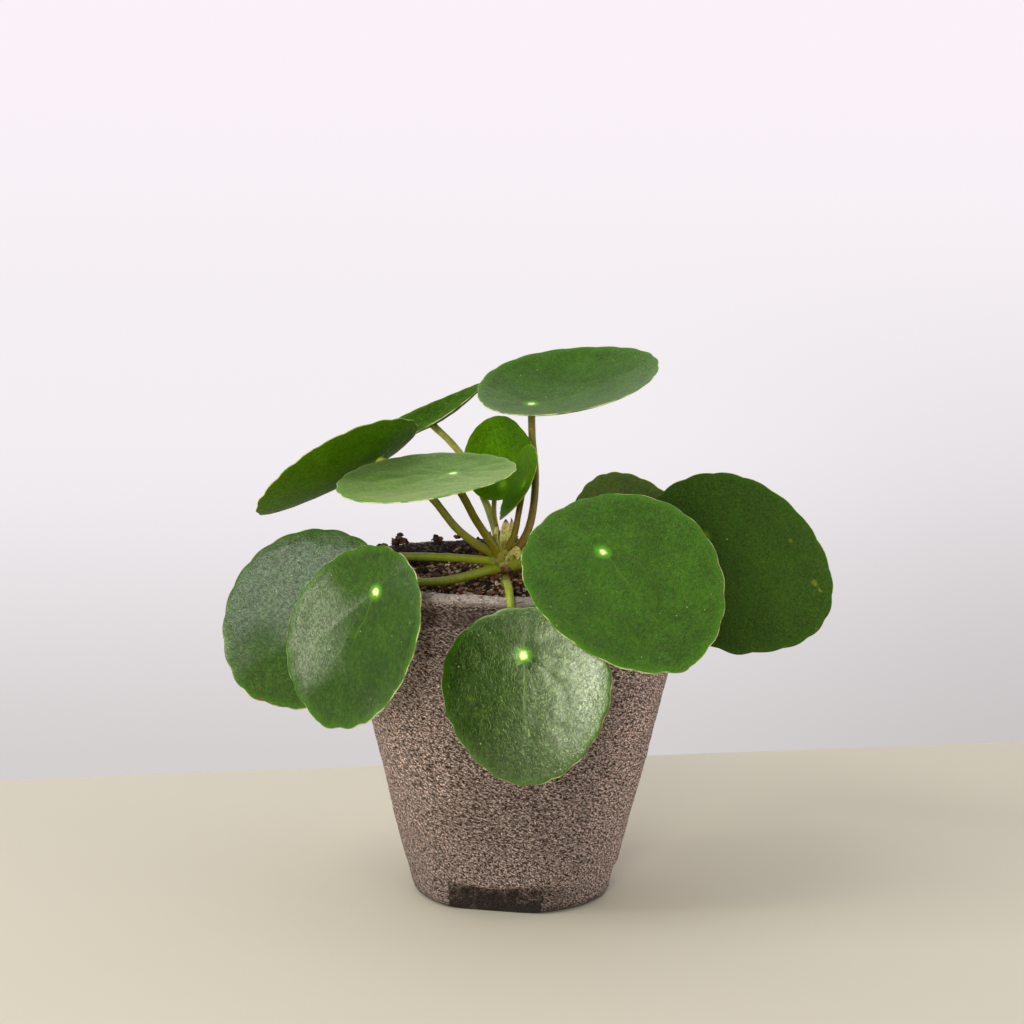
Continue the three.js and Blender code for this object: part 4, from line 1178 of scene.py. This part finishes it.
def soft_lamp(name, azimuth, elevation, width, height, power, tint=(1, 1, 1)):
    """A soft lamp that shines at the plant. Azimuth 0 is in front of it, and 90 to its right."""
    lamp = bpy.data.lights.new(name, "AREA")
    lamp.shape, lamp.size, lamp.size_y, lamp.energy = "RECTANGLE", width, height, power
    lamp.color = tint
    made = placed(name, lamp)
    a, e = math.radians(azimuth), math.radians(elevation)
    aim = Vector((0, 0, 0.1))
    way = Vector((math.sin(a) * math.cos(e), -math.cos(a) * math.cos(e), math.sin(e)))
    made.location = aim + LAMP_AWAY * way
    made.rotation_euler = (aim - made.location).to_track_quat("-Z", "Y").to_euler()
    made.visible_camera = False


# Azimuth and elevation in degrees, width and height in metres, power in watts, and colour
soft_lamp("key_lamp", -58, 38, 0.9, 0.8, 9)
soft_lamp("high_lamp", -33, 46, 0.5, 0.5, 5)
soft_lamp("side_lamp", -75, 14, 0.26, 0.8, 7.4, (1, 0.98, 0.8))
soft_lamp("front_lamp", -10, 13, 0.46, 0.5, 14.5, (1, 0.98, 0.86))
soft_lamp("right_lamp", 70, 12, 0.5, 0.9, 3)

world = bpy.data.worlds.new("room")
bpy.context.scene.world = world
world.use_nodes = True
tree = world.node_tree
east, north, up = split(add(tree, "TexCoord").outputs["Generated"])
# A pale backdrop stands behind the plant and ends above it; the rest of the room is dim
room = blend(ramp(up, 0.3, 0.8), rgb(80, 79, 80), rgb(190, 188, 189))
room = blend(ramp(east, 0.3, 0.9, 0, 0.9), room, rgb(224, 220, 218))
backdrop = times(ramp(north, 0.15, 0.55), ramp(up, 0.85, 0.6))
room = blend(backdrop, room, rgb(246, 242, 244))
# The camera itself sees it as plain and pale, and a little darker to the right
seen = blend(ramp(up, -0.26, -0.1), rgb(212, 207, 207), rgb(243, 238, 242))
seen = blend(ramp(up, -0.1, 0.06), seen, rgb(250, 242, 248))
dusk = times(ramp(east, 0.03, 0.24), ramp(up, 0.0, -0.2, 0, 0.35))
seen = blend(dusk, seen, rgb(170, 166, 166))
direct = add(tree, "LightPath").outputs["Is Camera Ray"]
tree.links.new(blend(direct, room, seen), tree.nodes["Background"].inputs["Color"])
tree.nodes["Background"].inputs["Strength"].default_value = 1.0


# Camera. It stands 75 cm in front of the pot and 23 cm above the floor, and looks down at the plant,
# rolled by less than a degree. The focal length is given in pixels of a picture 1024 pixels wide.
CAMERA_AT = Vector((-1.2, -750, 234.5)) * MM
PITCH = math.radians(8.1)
ROLL = math.radians(0.65)
FOCAL_PIXELS, PICTURE_WIDTH = 2290, 1024
ahead = Vector((0, math.cos(PITCH), -math.sin(PITCH)))
right = Vector((1, 0, 0))
above = right.cross(ahead)
right_rolled = right * math.cos(ROLL) + above * math.sin(ROLL)
above_rolled = above * math.cos(ROLL) - right * math.sin(ROLL)
camera = placed("camera", bpy.data.cameras.new("camera"))
camera.data.sensor_width = 36
camera.data.lens = camera.data.sensor_width * FOCAL_PIXELS / PICTURE_WIDTH
camera.data.clip_start = 0.01
camera.data.clip_end = 20
axes = Matrix((right_rolled, above_rolled, -ahead)).transposed().to_4x4()
camera.matrix_world = Matrix.Translation(CAMERA_AT) @ axes
bpy.context.scene.camera = camera
bpy.context.scene.view_settings.view_transform = "Standard"
